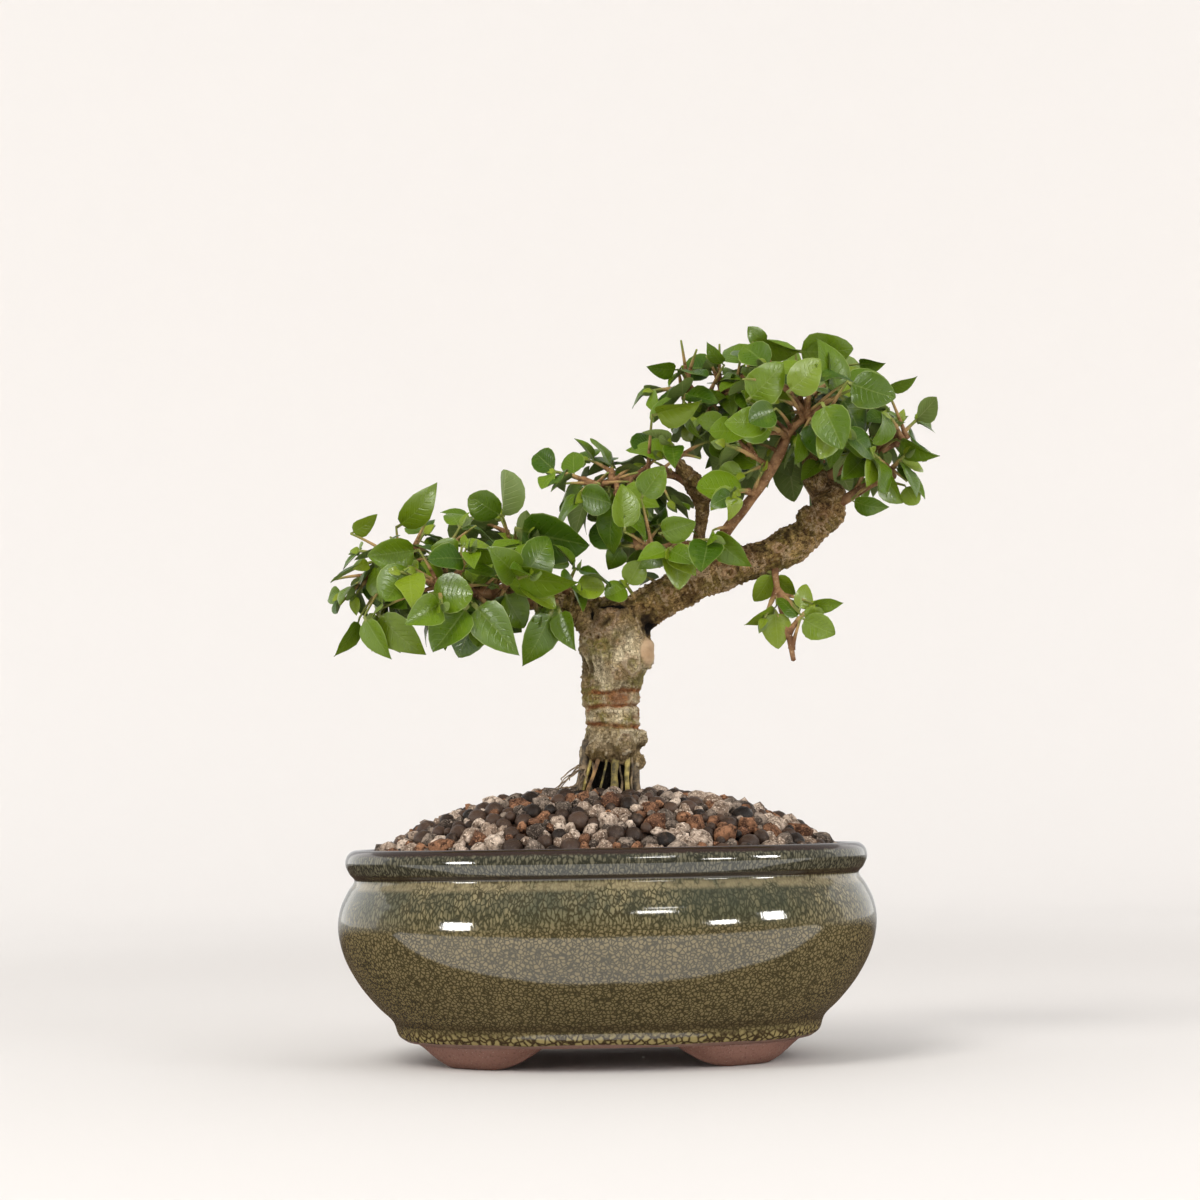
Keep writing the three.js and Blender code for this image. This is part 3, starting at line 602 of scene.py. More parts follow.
def made_real(tree, copies):
    """Ends a geometry tree: its copies made real, in the finish it is given."""
    real = tree.add("GeometryNodeRealizeInstances", Geometry=copies)
    done = tree.add("GeometryNodeSetMaterial", Geometry=real, Material=tree.given["Finish"])
    tree.add("NodeGroupOutput", Mesh=done)
    return tree


def strand_tree():
    """Geometry nodes: bars set side by side both ways, as in a moulded plastic mesh."""
    inputs = {"Middle": "Geometry", "Side": "Float", "Pitch": "Float", "Bar": "Float", "Finish": "Material"}
    tree = Group("Crossed strands", "Geometry", inputs, {"Mesh": "Geometry"})
    side, pitch, bar = (tree.given[label] for label in ("Side", "Pitch", "Bar"))
    count = (side / pitch).calc("FLOOR")
    start = pitch * (count - 1.0) * -0.5
    joined = tree.tree.nodes.new("GeometryNodeJoinGeometry")
    for axis, wide, deep in (("X", bar, side), ("Y", side, bar)):
        size = tree.add("ShaderNodeCombineXYZ", X=wide, Y=deep, Z=bar)
        one_bar = tree.add("GeometryNodeMeshCube", Size=size)
        first = tree.add("ShaderNodeCombineXYZ", **{axis: start})
        stride = tree.add("ShaderNodeCombineXYZ", **{axis: pitch})
        line = tree.add("GeometryNodeMeshLine", Count=count, Start_Location=first, Offset=stride)
        bars = tree.add("GeometryNodeInstanceOnPoints", Points=line, Instance=one_bar)
        tree.put(bars, joined.inputs[0])
    whole = Value(tree, joined.outputs[0])
    at_middle = tree.add("GeometryNodeInstanceOnPoints", Points=tree.given["Middle"], Instance=whole)
    return made_real(tree, at_middle)


def grown(piece, group, values):
    """Runs a geometry tree on a piece and keeps its result as the piece's plain mesh."""
    modifier = piece.modifiers.new("grown", "NODES")
    modifier.node_group = group.tree
    for item in group.tree.interface.items_tree:
        if item.in_out == "INPUT" and item.name in values:
            modifier[item.identifier] = values[item.name]
    plain_mesh(piece)


screen_finish = Finish("black_plastic_mesh")
patches, grit = clouds_in(screen_finish, 200.0, 1500.0)
tone = patches.mix((0.012, 0.012, 0.013), (0.03, 0.029, 0.028))
screen_finish.set(Base_Color=tone, Roughness=grit.step(0.3, 0.7, 0.45, 0.65))
strands = strand_tree()
for side, x in (("left", -DRAIN_HOLE_X), ("right", DRAIN_HOLE_X)):
    screen = mesh_object("mesh_screen_" + side, placed([(x, 0, SCREEN_MIDDLE)]), [])
    grown(screen, strands, {**SCREEN_SIZES, "Finish": screen_finish.material})
    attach(screen, "root")
    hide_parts("drain_screen_" + side)

# The growing medium: coarse loose granules heaped round the trunk. Round dark balls of fired clay,
# pale porous pumice and broken grey and rust-coloured lava lie on a bed packed in deep, whose colour
# is near black as painted shade in the gaps between them.
SOIL_EDGE_HEIGHT = 91.0
MOUND_RISE = 30.0
MOUND_STEEPNESS = 2.5
MOUND_HALF_LENGTH = 111.0
MOUND_HALF_WIDTH = 86
BED_DEPTH = 4.6
BED_UNDER = 19.3
BED_TURNS = 72
TRUNK_CLEAR = 12.5
CELL = 8.0
LARGE_GRANULE = 3.4
# Each lot of granules: how often one is tried, smallest and largest radius, how close they lie, as
# a share of touching, and how far above the mound's form.
GRANULE_LOTS = (
    (900, 4.4, 5.6, 0.86, 0.4), (3500, 3.4, 4.3, 0.84, 0.9), (9000, 2.6, 3.3, 0.82, 1.2),
    (14000, 1.9, 2.5, 0.80, 1.4), (2500, 3.0, 4.0, 0.72, -4.4), (4000, 2.2, 3.0, 0.76, -2.6),
)


def mound_height(share):
    """The mound's height at a share of the way from the trunk to the pot's wall."""
    return SOIL_EDGE_HEIGHT + MOUND_RISE * (1 - min(1.0, share) ** MOUND_STEEPNESS)


def mound_share(x, y):
    """How far out a place lies on the mound, from 0 at the trunk to 1 at the pot's wall."""
    low, high = 0.0, 260.0
    for _ in range(22):
        half = (low + high) / 2
        width = max(half - POT_NARROWER * min(1, half / BASE_HALF_LENGTH), 0.01)
        reach = (abs(x) / max(half, 0.01)) ** POT_ROUNDNESS + (abs(y) / width) ** POT_ROUNDNESS
        low, high = (half, high) if reach > 1 else (low, half)
    return high / MOUND_HALF_LENGTH


def granule_places():
    """Centres and radii of the granules: large ones first, then ever smaller ones between them."""
    rng = random.Random(23)
    found = []
    cells = {}

    def fits(x, y, z, r, room):
        across, deep = int(x // CELL), int(y // CELL)
        near = [(i, j) for i in range(across - 1, across + 2) for j in range(deep - 1, deep + 2)]
        return all(
            (a - x) ** 2 + (b - y) ** 2 + (c - z) ** 2 >= (room * (r + other)) ** 2
            for cell in near
            for a, b, c, other in cells.get(cell, ())
        )

    for tries, small, large, room, lift in GRANULE_LOTS:
        for _ in range(tries):
            x = rng.uniform(-MOUND_HALF_LENGTH, MOUND_HALF_LENGTH)
            y = rng.uniform(-MOUND_HALF_WIDTH, MOUND_HALF_WIDTH)
            r = rng.uniform(small, large)
            share = mound_share(x, y)
            edge = 1 - 0.82 * r / MOUND_HALF_LENGTH
            if share > edge or math.hypot(x, y) < TRUNK_CLEAR + r:
                continue
            z = mound_height(share) + lift + rng.uniform(-1.0, 1.0)
            if fits(x, y, z, r, room):
                found.append((x, y, z, r))
                cells.setdefault((int(x // CELL), int(y // CELL)), []).append(found[-1])
    return found


def granule_shapes(kind, count, rough, angular):
    """A few granules of one kind, each about one across, of 80 faces."""
    folder = bpy.data.collections.new(kind + "_shapes")
    for number in range(count):
        mesh = bpy.data.meshes.new(f"{kind}_{number}")
        build = bmesh.new()
        bmesh.ops.create_icosphere(build, subdivisions=2, radius=1.0)
        shift = Vector((number * 7.3, 3.1, 1.7))
        for vertex in build.verts:
            lump = noise.noise(vertex.co * 0.9 + shift) + 0.6 * noise.noise(vertex.co * 2.3 + shift)
            cells = noise.voronoi(vertex.co * 0.8 + shift)[0][0]
            vertex.co *= 1 + rough * lump + angular * (cells - 0.45)
        build.to_mesh(mesh)
        build.free()
        mesh.polygons.foreach_set("use_smooth", [True] * len(mesh.polygons))
        folder.objects.link(bpy.data.objects.new(f"{kind}_{number}", mesh))
    return folder


def scatter_tree(name):
    """Geometry nodes: one shape from a folder on each point, turned and sized as the point says."""
    inputs = {"Points": "Geometry", "Shapes": "Collection", "Finish": "Material"}
    tree = Group(name, "Geometry", inputs, {"Mesh": "Geometry"})
    shapes = tree.add(
        "GeometryNodeCollectionInfo", Collection=tree.given["Shapes"],
        Separate_Children=True, Reset_Children=True,
    )

    def carried(label, kind):
        return tree.add("GeometryNodeInputNamedAttribute", "Attribute", {"data_type": kind}, Name=label)

    turn = tree.add(
        "FunctionNodeAxesToRotation", 0, {"primary_axis": "Z", "secondary_axis": "X"},
        Primary_Axis=carried("face", "FLOAT_VECTOR"), Secondary_Axis=carried("along", "FLOAT_VECTOR"),
    )
    copies = tree.add(
        "GeometryNodeInstanceOnPoints", Points=tree.given["Points"], Instance=shapes, Pick_Instance=True,
        Instance_Index=carried("shape", "INT"), Rotation=turn, Scale=carried("size", "FLOAT_VECTOR"),
    )
    return made_real(tree, copies)


def carry(piece, label, values, kind="FLOAT"):
    """Writes a number, or a count or a direction, on each of a piece's points."""
    values = np.asarray(values, np.int32 if kind == "INT" else np.float32).ravel()
    layer = piece.data.attributes.new(label, kind, "POINT")
    layer.data.foreach_set("vector" if kind == "FLOAT_VECTOR" else "value", values)


def points_object(name, places, faces, alongs, sizes, shapes, tones):
    """Points in millimetres that carry what the scatter tree reads."""
    made = mesh_object(name, placed(places), [])
    for label, values in (("face", faces), ("along", alongs), ("size", sizes)):
        carry(made, label, values, "FLOAT_VECTOR")
    carry(made, "shape", shapes, "INT")
    carry(made, "tone", tones)
    return made


def carried_in(finish, label, output="Fac"):
    """What the piece's own points carry, as a finish reads it."""
    return finish.add("ShaderNodeAttribute", output, {"attribute_name": label})


def ball_finish():
    """Fired clay balls: dark brown to charcoal skins with a dull sheen, brown patches and pale dusty specks.
    """
    ball = Finish("dark_clay_balls")
    patches, grit = clouds_in(ball, 260.0, 1500.0)
    skin = carried_in(ball, "tone").mix((0.011, 0.007, 0.005), (0.082, 0.046, 0.029))
    skin = skin.towards((0.13, 0.088, 0.062), patches.step(0.5, 0.8))
    skin = skin.towards((0.22, 0.18, 0.145), grit.step(0.60, 0.78))
    ball.set(Base_Color=skin, Roughness=grit.step(0.3, 0.7, 0.32, 0.6), Specular_IOR_Level=0.28)
    ball.relief(grit, 0.6, 0.0007)
    return ball.material


def stone_finish(name, dark, pale, pores):
    """Porous stone: pale or rusty, speckled, pitted with small dark pores."""
    stone = Finish(name)
    patches, grit = clouds_in(stone, 330.0, 1300.0)
    skin = carried_in(stone, "tone").mix(dark, pale)
    skin = skin.towards(tuple(0.55 * c for c in dark), patches.step(0.35, 0.7))
    skin = skin.towards(tuple(min(1, 1.35 * c) for c in pale), grit.step(0.52, 0.72))
    pit = stone.dots(pores).step(0.12, 0.34, 1.0, 0.0) * patches.step(0.38, 0.55)
    skin = skin.towards(tuple(0.22 * c for c in dark), pit * 0.85)
    stone.set(Base_Color=skin, Roughness=0.92, Specular_IOR_Level=0.15)
    stone.relief(grit * 0.8 - pit, 0.8, 0.0007)
    return stone.material


# The bed goes down to the screens. Its top follows the mound, a little lower and lumpy.
profile = [
    (0.5, BED_UNDER), (89.0, BED_UNDER), (102.0, 31), (111.5, 44.6), (116.8, 61), (115.6, 72), (110.0, 85)
]
lumpy_from = BED_TURNS * (len(profile) + 1)
for share in (0.985, 0.95, 0.9, 0.82, 0.72, 0.6, 0.48, 0.36, 0.24, 0.12, 0.005):
    profile.append((MOUND_HALF_LENGTH * share, mound_height(share) - BED_DEPTH))
points = oval_rings(profile, BED_TURNS)
for i, (x, y, z) in enumerate(points[lumpy_from:], lumpy_from):
    points[i] = (x, y, z + 1.6 * noise.noise((x * 0.21, y * 0.21, 5.0)))
bed = mesh_object("granule_bed", placed(points), ring_faces(len(profile), BED_TURNS, capped=True))
carry(bed, "tone", [0.1] * len(points))
# The bed is painted near black: painted shade in the gaps between the granules.
bed.data.materials.append(stone_finish("packed_bed", (0.018, 0.012, 0.009), (0.05, 0.034, 0.026), 600.0))
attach(bed, "root")
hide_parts("soil")

# The loose granules. Each kind has its shapes, its finish, and how far it is squashed each way.
pumice = stone_finish("pale_pumice", (0.22, 0.145, 0.098), (0.76, 0.62, 0.50), 620.0)
lava = stone_finish("broken_lava", (0.09, 0.042, 0.026), (0.38, 0.19, 0.10), 700.0)
grit_stone = stone_finish("grey_grit", (0.055, 0.040, 0.031), (0.38, 0.30, 0.235), 700.0)
granule_kinds = {
    "clay_balls": (granule_shapes("clay_ball", 4, 0.07, 0.05), ball_finish(), (0.96, 0.98, 0.9)),
    "pumice": (granule_shapes("pumice_lump", 6, 0.30, 0.75), pumice, (1.15, 0.95, 0.8)),
    "lava": (granule_shapes("lava_lump", 6, 0.30, 0.8), lava, (1.15, 0.92, 0.82)),
    "grey_grit": (granule_shapes("grit_lump", 5, 0.30, 0.75), grit_stone, (1.12, 0.92, 0.84)),
}
LARGE_MIX = (0.48, 0.26, 0.12, 0.14)
SMALL_MIX = (0.24, 0.34, 0.22, 0.20)
rng = random.Random(5)
sorted_granules = {kind: [] for kind in granule_kinds}
for granule in granule_places():
    likely = LARGE_MIX if granule[3] > LARGE_GRANULE else SMALL_MIX
    sorted_granules[rng.choices(list(granule_kinds), weights=likely)[0]].append(granule)
scatter = scatter_tree("Scattered granules")
for kind, rows in sorted_granules.items():
    folder, finish, squash = granule_kinds[kind]
    ways = [Vector([rng.gauss(0, 1) for _ in range(3)]).normalized() for _ in range(2 * len(rows))]
    layer = points_object(
        "granules_" + kind,
        [row[:3] for row in rows],
        ways[: len(rows)],
        ways[len(rows):],
        [[row[3] / 1000 * s for s in squash] for row in rows],
        [rng.randrange(len(folder.objects)) for _ in rows],
        [rng.random() for _ in rows],
    )
    grown(layer, scatter, {"Shapes": folder, "Finish": finish})
    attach(layer, "root")
    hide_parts("soil")

# The wood: one grown piece. A stout trunk with old scars swells to a knotted head, from which a
# long bough leans out to the right and turns up, and a shorter one reaches left. Limbs go out from
# both. The bark is pale and knotted on the trunk, brown, flaky and wrinkled on the boughs.
TRUNK = [
    (0, 0, 104, 12), (0, 0, 120, 12.6), (2, 0, 132, 13.2), (3.6, 0, 146, 13.2), (4.2, 0, 158, 12.7),
    (4.4, 0, 169, 13.2), (4.9, 0, 180, 15), (5.4, 0, 190, 16.6), (5.8, 0, 200, 16.4), (5, 0, 208, 13.5),
    (4, 0, 213, 8),
]
# As in the trunk, a row gives x, y, z and the wood's radius there, in millimetres.
LIMBS = {
    "bough": [
        (8, 0, 201, 10), (20, -2, 208.5, 9), (32, -4, 215.5, 8.2), (45, -4, 221, 7.8),
        (58, -4, 225.5, 7.8),
        (74, -2, 231.5, 8.4), (90, 0, 238.5, 8.2), (102, 2, 246.5, 7.6), (109, 4, 255, 7.8),
        (107, 6, 264, 7.2), (102, 8, 272, 5.6),
    ],
    "leader": [
        (104, 7, 266, 5), (101, 9, 282, 4.2), (103, 10, 296, 3.4), (105, 10, 308, 2.6),
        (104, 10, 319, 1.8),
    ],
    "diagonal": [
        (52, -4, 228, 5.5), (55, -8, 238, 3.4), (62, -13, 248, 2.8), (70, -17, 257.5, 2.5),
        (78, -20, 268, 2.4),
        (84, -22, 279, 2.2), (89, -24, 289, 1.9), (97, -25, 296, 1.4),
    ],
    "low_left_twig": [
        (50, -6, 234, 3.2), (43, -11, 237, 2.3), (35, -15, 237.5, 1.8), (24, -21, 235, 1.2),
    ],
    "middle": [
        (47, 0, 222, 4), (46, 5, 234, 3.2), (47, 5, 246, 2.8), (48.5, 1, 257, 3.4), (46, -2, 265, 4.4),
        (38, -4, 275, 3.4),
    ],
    "middle_left": [
        (43, -3, 268, 2.6), (34, -5, 272, 1.8), (20, -8, 272, 1.5), (8, -8, 269, 1.2), (-3, -7, 268, 1),
    ],
    "left_bough": [
        (2, 0, 202, 9.5), (-9, -1, 210.5, 7.5), (-22, -3, 214, 6), (-38, -6, 215, 5), (-54, -8, 217, 4),
        (-68, -8, 222, 3.2), (-82, -6, 228, 2.4), (-95, -4, 233, 1.6),
    ],
    "left_front": [(-38, -6, 215, 3), (-50, -16, 216, 2.4), (-63, -24, 217, 1.9), (-75, -29, 219, 1.4)],
    "left_back": [(-24, -3, 214, 3.2), (-38, 10, 218, 2.4), (-52, 20, 221, 1.9), (-66, 26, 224, 1.4)],
    "left_top": [(-22, -3, 213, 2.8), (-28, 2, 224, 2), (-36, 5, 233, 1.6), (-43, 8, 241, 1.1)],
    "right_high": [
        (104, 6, 267, 3.2), (112, 4, 273, 2.4), (123, 2, 278, 2), (136, 0, 283.5, 1.5),
        (146, -2, 288, 1),
    ],
    "right_low": [(108, 4, 256, 3.4), (117, 0, 260, 2.6), (128, -4, 266, 1.9), (138, -8, 269, 1.3)],
    "crown_left": [
        (102, 9, 284, 2.6), (88, 10, 296, 2.2), (70, 10, 305, 1.9), (53, 8, 312, 1.5),
        (40, 6, 315, 1.1),
    ],
    "crown_back": [(102, 9, 279, 2.8), (96, 22, 290, 2.2), (86, 33, 300, 1.7), (74, 38, 307, 1.2)],
    "crown_back_right": [(102, 9, 276, 2.6), (114, 20, 288, 2), (126, 27, 295, 1.5)],
    "crown_front": [(102, 9, 291, 2.4), (99, -4, 301, 1.8), (94, -15, 306, 1.3)],
    "hanging_twig": [
        (82, -2, 234, 1.8), (82, -6, 222, 1.6), (84, -9, 209, 1.5), (87, -11, 196, 1.4),
        (89, -12, 183, 1.2),
    ],
}
# Burrs where old limbs were cut, and smaller swellings: x, y, z and radius.
BURRS = [
    (18.4, -6.5, 185.8, 6.2), (18.4, -6.5, 190.2, 6.0), (15.5, -5, 148, 5.2), (15, -3, 137.5, 4.6),
    (51, -4, 231, 7.6), (112, 2, 252, 4),
    (103, 4, 270, 6),
]
SWELLINGS = [
    (8.5, -7.5, 141, 5.4), (-4.5, -9, 142, 4.4), (-8.5, -2, 141.5, 3.6), (13.8, -2, 193.5, 5.5),
    (-8, -6, 203, 5.6),
    (12, -6, 203, 6), (49, -9, 229.5, 4.4), (100, -3, 246, 4.2), (109.5, 0, 260, 4.8),
    (-12, -3, 206, 4.6),
    (46.5, -3.5, 266, 5.6), (43, -3, 270, 4.6), (50, -3, 262.5, 4.2), (83, -5.5, 231, 3.8),
    (66, -8, 228.5, 5.2),
    (75, -7, 232.5, 4.6), (98, -2, 251, 5.4), (105, -3, 258, 4.8), (112, 0, 263, 4.2), (58, -9, 225, 4.4),
    (36, -8, 220.5, 4.2), (90, -6, 241, 4), (104, 2, 268, 5), (41, -9, 273, 3.2), (45, -10, 268.5, 3.6),
    (48, -9, 263, 3.2),
    (38.5, -8, 277, 2.4),
]
THICK_LIMBS = ("bough", "left_bough", "leader", "middle")
BARK_VOXEL = 0.00068
BOUGH_ROUGHNESS = 0.6
TRUNK_SIDES = 40
CORE_SIDES = 24
BOUGH_SIDES = 28
LIMB_SIDES = 16
BARK_FROM = 146


def limb_line(rows, step):
    """Points, radii, turn frames and lengths along a limb, a step apart."""
    rows = np.array(rows, float)
    length = np.linalg.norm(np.diff(rows[:, :3], axis=0), axis=1).sum()
    count = max(3, int(length / step))
    line = np.array([curve_point(rows, i / count) for i in range(count + 1)])
    middle, radius = line[:, :3], line[:, 3]
    tangent = np.gradient(middle, axis=0)
    tangent /= np.linalg.norm(tangent, axis=1)[:, None]
    normal = np.cross(tangent[0], (0.3, 1, 0.2))
    normals = []
    for t in tangent:
        normal = normal - t * (normal @ t)
        normal /= np.linalg.norm(normal)
        normals.append(normal)
    normals = np.array(normals)
    along = np.concatenate([[0], np.cumsum(np.linalg.norm(np.diff(middle, axis=0), axis=1))])
    return middle, radius, tangent, normals, np.cross(tangent, normals), along


def tipped_faces(rings, sides):
    """Faces between rings, and fans to the two points that close them, which follow the rings."""
    start, last = rings * sides, (rings - 1) * sides
    faces = ring_faces(rings, sides)
    for c in range(sides):
        faces.append((start, (c + 1) % sides, c))
        faces.append((start + 1, last + c, last + (c + 1) % sides))
    return faces


def tube(rows, sides, step, shape=None):
    """A closed tube along a limb, whose radius may vary with its length and turn."""
    middle, radius, tangent, normal, side, along = limb_line(rows, step)
    points = []
    for i in range(len(middle)):
        for turn in np.linspace(0, 2 * math.pi, sides, endpoint=False):
            r = radius[i] * (shape(along[i], turn) if shape else 1.0)
            points.append(middle[i] + r * (math.cos(turn) * normal[i] + math.sin(turn) * side[i]))
    points.append(middle[0] - tangent[0] * radius[0] * 0.35)
    points.append(middle[-1] + tangent[-1] * radius[-1] * 0.5)
    return points, tipped_faces(len(middle), sides)


def joined_mesh(name, parts):
    """Several lots of points and faces as one piece."""
    points, faces = [], []
    for more_points, more_faces in parts:
        start = len(points)
        points.extend(more_points)
        faces.extend(tuple(i + start for i in face) for face in more_faces)
    return mesh_object(name, placed(points), faces)


def ball(x, y, z, radius, rings=14, turns=20):
    """A round swelling in the wood."""
    points = []
    for i in range(1, rings):
        high = math.pi * i / rings
        for j in range(turns):
            turn = 2 * math.pi * j / turns
            points.append((
                x + radius * math.sin(high) * math.cos(turn),
                y + radius * math.sin(high) * math.sin(turn),
                z - radius * math.cos(high),
            ))
    return points + [(x, y, z - radius), (x, y, z + radius)], tipped_faces(rings - 1, turns)


def uneven(seed, amount):
    """How far a limb's radius strays from round."""
    def shape(along, turn):
        spot = (math.cos(turn) * 1.3 + seed, math.sin(turn) * 1.3, along * 0.07)
        return 1 + amount * noise.noise(spot)
    return shape


# The bark peels back from the foot of the trunk, so this starts where the bark does, over a core.
CORE = [(1.6, 1.5, 100, 8.4), (2.2, 1.5, 118, 8.8), (3.2, 1, 134, 9.6), (3.8, 0.5, 146, 10.5)]
BARK_FOOT = [(3.0, 0.4, 138.2, 12.4), (3.4, 0.2, 141, 13.4), (3.6, 0, 146, 13.6), (4, 0, 150, 12.6)]
wood_parts = [
    tube(CORE, CORE_SIDES, 2),
    tube([row for row in TRUNK if row[2] >= BARK_FROM], TRUNK_SIDES, 1.5, uneven(3, 0.14)),
    tube(BARK_FOOT, TRUNK_SIDES, 1, uneven(3, 0.2)),
]
for number, limb in enumerate(THICK_LIMBS):
    sides = BOUGH_SIDES if number < 2 else LIMB_SIDES
    wood_parts.append(tube(LIMBS[limb], sides, 1.5, uneven(10 + number, 0.24)))
wood_parts += [ball(*row) for row in BURRS + SWELLINGS]
wood = joined_mesh("trunk_and_boughs", wood_parts)
fuse = wood.modifiers.new("fuse", "REMESH")
fuse.mode = "VOXEL"
fuse.voxel_size = BARK_VOXEL
fuse.use_smooth_shade = True
soften = wood.modifiers.new("soften", "SMOOTH")
soften.iterations = 10
soften.factor = 0.5
plain_mesh(wood)

# Where each point of the bark lies: on which limb, and where on it if that limb were straight.
guides = []
for rows in [TRUNK] + [LIMBS[limb] for limb in THICK_LIMBS]:
    middle, radius, tangent, normal, side, along = limb_line(rows, 1.0)
    guides.extend(zip(middle, radius, normal, side, along))
finder = kdtree.KDTree(len(guides))
for i, guide in enumerate(guides):
    finder.insert(guide[0], i)
finder.balance()

# Old wire marks round the trunk: height, slope and depth. Eyes where shoots were cut: x, z, half
# width, half height, lean and darkness, which deepens the slit and sets the painted shade in it.
# Hollows in the crotches, darkened with painted shade: x, y, z, half sizes and depth.
# Red growth: x, y, z and reach. The knot where a limb was sawn off: its middle and half sizes.
WIRE_MARKS = ((169.6, 0.03, 0.6), (162.8, 0.07, 0.8), (154.2, -0.08, 0.9))
EYES = (
    (2.0, 202.6, 3.4, 6.6, -42, 0.45), (-2.2, 195.4, 2.0, 1.4, 10, 0.5), (-7.6, 174.2, 2.4, 1.7, 10, 0.2),
    (13.4, 182.0, 3.2, 4.4, 30, 0.15), (-1.0, 190.5, 2.2, 1.5, -12, 0.15), (6.5, 178.0, 1.7, 2.4, 20, 0.1),
    (-6.0, 197.0, 2.2, 1.6, -25, 0.3), (8.5, 193.0, 2.0, 1.4, 10, 0.15), (9.5, 148.5, 1.8, 1.4, 0, 0.1),
    (31.0, 216.0, 2.2, 1.5, 25, 0.3), (60.0, 224.5, 2.8, 1.8, 15, 0.35), (84.0, 236.0, 2.4, 1.6, 25, 0.3),
    (104.5, 250.0, 2.8, 2.0, 45, 0.5),
)
HOLLOWS = (
    (21.0, -6.0, 201.5, 2.6, 5.0, 4.6, 3.2), (23.2, -4.0, 199.6, 2.4, 6.0, 3.6, 2.0),
    (5.5, -11.0, 209.6, 8.0, 5.0, 1.0, 1.3), (14.8, -9.0, 204.6, 1.0, 5.0, 3.6, 1.2),
    (-4.6, -11.0, 206.0, 0.8, 5.0, 3.0, 1.0),
)
RED_SPOTS = ((46, -3, 266, 8), (58, -8, 231, 7), (70, -8, 231, 6), (104, 0, 258, 9), (109, 2, 266, 7))
KNOT = ((20.8, -9, 188), (5.2, 6.5, 7.8))
BARK_LAYERS = ("relief", "mark", "hollow", "bare", "red", "pale_bark", "damp")


def hump(distance, width):
    """A smooth hump, one high."""
    return math.exp(-((distance / width) ** 2))


def within(value, low=0.0):
    """A value kept between a low end and one."""
    return min(1.0, max(low, value))


def lumps(spot, scale):
    """Soft lumps in space, from about minus one to one."""
    return noise.noise([c * scale for c in spot])


def reach_of(spot, middle, halves):
    """How far a spot is out from an oval lump's middle, one on its skin."""
    return math.sqrt(sum(((c - m) / half) ** 2 for c, m, half in zip(spot, middle, halves)))


def ridges(spot, scale, squeeze, shift):
    """Warped ridges: one on their crests and nothing between them."""
    x, y, z = (c * scale for c in spot)
    warp = 0.9 * noise.noise((x * 0.6 + shift, y * 0.6, z * 0.6))
    value = noise.noise((x + warp, y + shift, z * squeeze + warp))
    return max(0.0, 1 - abs(value) * 3.4)


def trunk_relief(local, spot):
    """Pale trunk bark: swirling ridges and small lumps, with old wire marks round it."""
    x, y, z = spot
    relief = 0.7 * lumps(spot, 0.09) + 0.85 * ridges(local, 0.16, 0.6, 4) ** 2
    relief += 0.55 * ridges(local, 0.34, 0.55, 9) ** 2 + 0.25 * lumps(spot, 0.8) - 0.55
    mark = 0.0
    for height, slope, deep in WIRE_MARKS:
        off = z - height - slope * x - 1.3 * noise.noise((x * 0.1, y * 0.1, height))
        share = within(0.85 + noise.noise((x * 0.13, y * 0.13, height + 3)), 0.3)
        banks = 0.65 * hump(off - 1.9, 1.0) + 0.6 * hump(off + 1.9, 1.0)
        relief += share * deep * (banks - 1.2 * hump(off, 0.7))
        mark = max(mark, share * hump(off - 0.2, 1.1))
    if 154 < z < 171:
        blotch = noise.noise((x * 0.14, y * 0.14, z * 0.3))
        mark = max(mark, 0.75 * within(3.2 * blotch - 0.1))
        patch = math.hypot((x - 7.5) / 7.5, (z - 166.6 - 0.1 * x) / 2.6) + 1.2 * blotch
        mark = max(mark, (0.85 if y < 0 else 0.0) * within(1.5 - patch * 1.2))
    if z < 150:
        torn = max(0.0, noise.noise((x * 0.35, y * 0.35, z * 0.3 + 9)))
        relief += 1.3 * torn * min(1.0, (150 - z) / 4)
    return relief, mark


def bough_relief(local, radius):
    """Brown bough bark: flakes parted by cracks, and wrinkles across the bough."""
    a, b, c = local
    drift = 1.1 * lumps(local, 0.2)
    edge = noise.voronoi((a * 0.22 + drift, b * 0.22, c * 0.5 + drift))[0]
    small = noise.voronoi((a * 0.6, b * 0.6 + drift, c * 0.9))[0]
    crack = min(1.0, (edge[1] - edge[0]) * 3.4) ** 0.7
    relief = 0.75 * crack - 0.75 + 0.10 * min(1.0, (small[1] - small[0]) * 3)
    relief += 1.15 * ridges(local, 0.10, 3.0, 2) ** 1.5 + 0.9 * lumps(local, 0.1)
    relief += 0.45 * ridges(local, 0.24, 2.2, 7) ** 2
    return relief * min(1.0, radius / 6.5)


